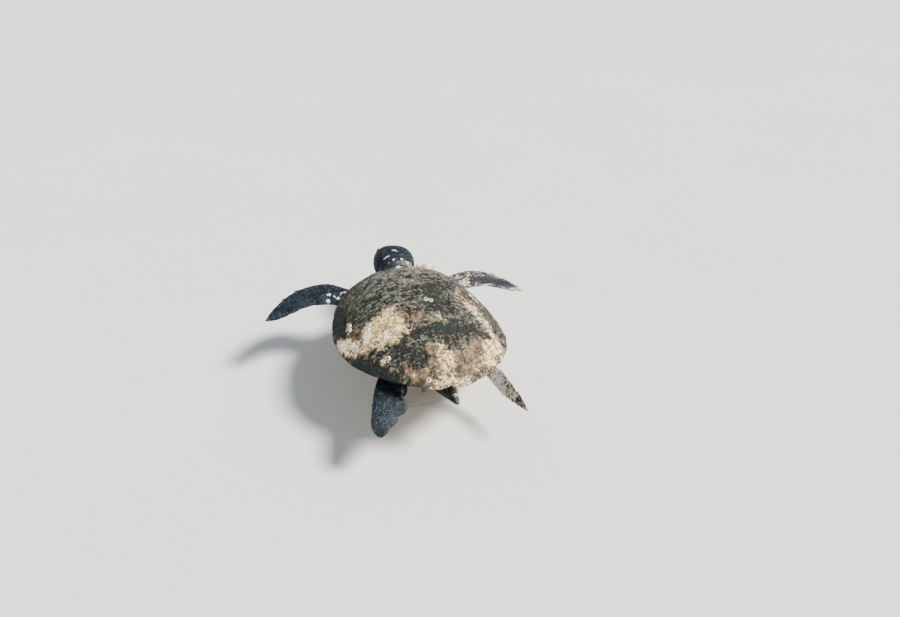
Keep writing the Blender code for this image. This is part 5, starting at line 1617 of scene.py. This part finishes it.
# %% [markdown]
# ## Stand
# The stand is plain: a painted steel plate, two brushed rods and a pad on each.  Its solids
# are right as they are and only need their finishes.

# %% Stand finishes
paint = Finish("stand_paint", specular_ior_level=0.4)
orange_peel = paint.noise(350.0, 2.0)
paint_colour = paint.mix(paint.noise(5.0, 3.0), (0.500, 0.500, 0.490), (0.570, 0.570, 0.560))
paint.wire(base_color=paint_colour, roughness=0.42 + orange_peel * 0.12,
           normal=paint.bump(orange_peel, 0.0004, 0.4))
dress(paint, bpy.data.objects["stand_base"])

steel = Finish("brushed_rods", metallic=1.0)
drawn = steel.node("ShaderNodeMapping", {}, {"Vector": steel.place(), "Scale": (900.0, 900.0, 20.0)})
brush = steel.noise(1.0, 3.0, 0.6, where=drawn)
steel.wire(base_color=steel.mix(brush, (0.400, 0.400, 0.405), (0.560, 0.560, 0.560)),
           roughness=0.26 + brush * 0.18, normal=steel.bump(brush, 0.0002, 0.4))
rods = [bpy.data.objects[f"stand_{kind}_{end}"] for kind in ("rod", "pad") for end in ("front", "rear")]
dress(steel, *rods)
print("stand pieces:", 1 + len(rods))

# %% [markdown]
# ## Floor and light
# The model stands in a plain studio on a pale floor.  One soft key comes from the turtle's
# right, a little behind it and high up, so that the left flank stays darker.  A sun lamp
# with a wide angle is used for it: an area light would leave the floor patchy.  The view's
# look adds a little contrast, which sets the pale growth off against the dark turf.

# %% Studio
FLOOR_HALF = 60.0
KEY_DIRECTION, KEY_SOFTNESS = Vector((-0.62, 0.28, 0.80)), math.radians(16.0)
KEY_POWER, KEY_COLOUR = 6.0, (1.0, 0.96, 0.89)
SKY_COLOUR, SKY_POWER = (0.90, 0.95, 1.0, 1.0), 0.50

floor_corners = FLOOR_HALF * np.array([(-1, -1, 0), (1, -1, 0), (1, 1, 0), (-1, 1, 0)])
ground_plane = add_piece("floor", floor_corners, [[0, 1, 2, 3]], place=Matrix.Identity(4))
pale_floor = Finish("pale_floor", roughness=0.8, specular_ior_level=0.2)
cloudy = pale_floor.noise(0.8, 3.0)
pale_floor.wire(base_color=pale_floor.mix(cloudy, (0.69, 0.70, 0.70), (0.72, 0.73, 0.73)))
dress(pale_floor, ground_plane)

bpy.context.scene.view_settings.look = "AgX - Medium High Contrast"
key = bpy.data.lights.new("key", "SUN")
key.energy, key.angle, key.color = KEY_POWER, KEY_SOFTNESS, KEY_COLOUR
key_holder = bpy.data.objects.new("key", key)
key_holder.rotation_euler = KEY_DIRECTION.to_track_quat("Z", "Y").to_euler()
bpy.context.scene.collection.objects.link(key_holder)
world = bpy.data.worlds.new("studio")
world.use_nodes = True
backdrop = world.node_tree.nodes["Background"].inputs
backdrop["Color"].default_value, backdrop["Strength"].default_value = SKY_COLOUR, SKY_POWER
bpy.context.scene.world = world

# %% [markdown]
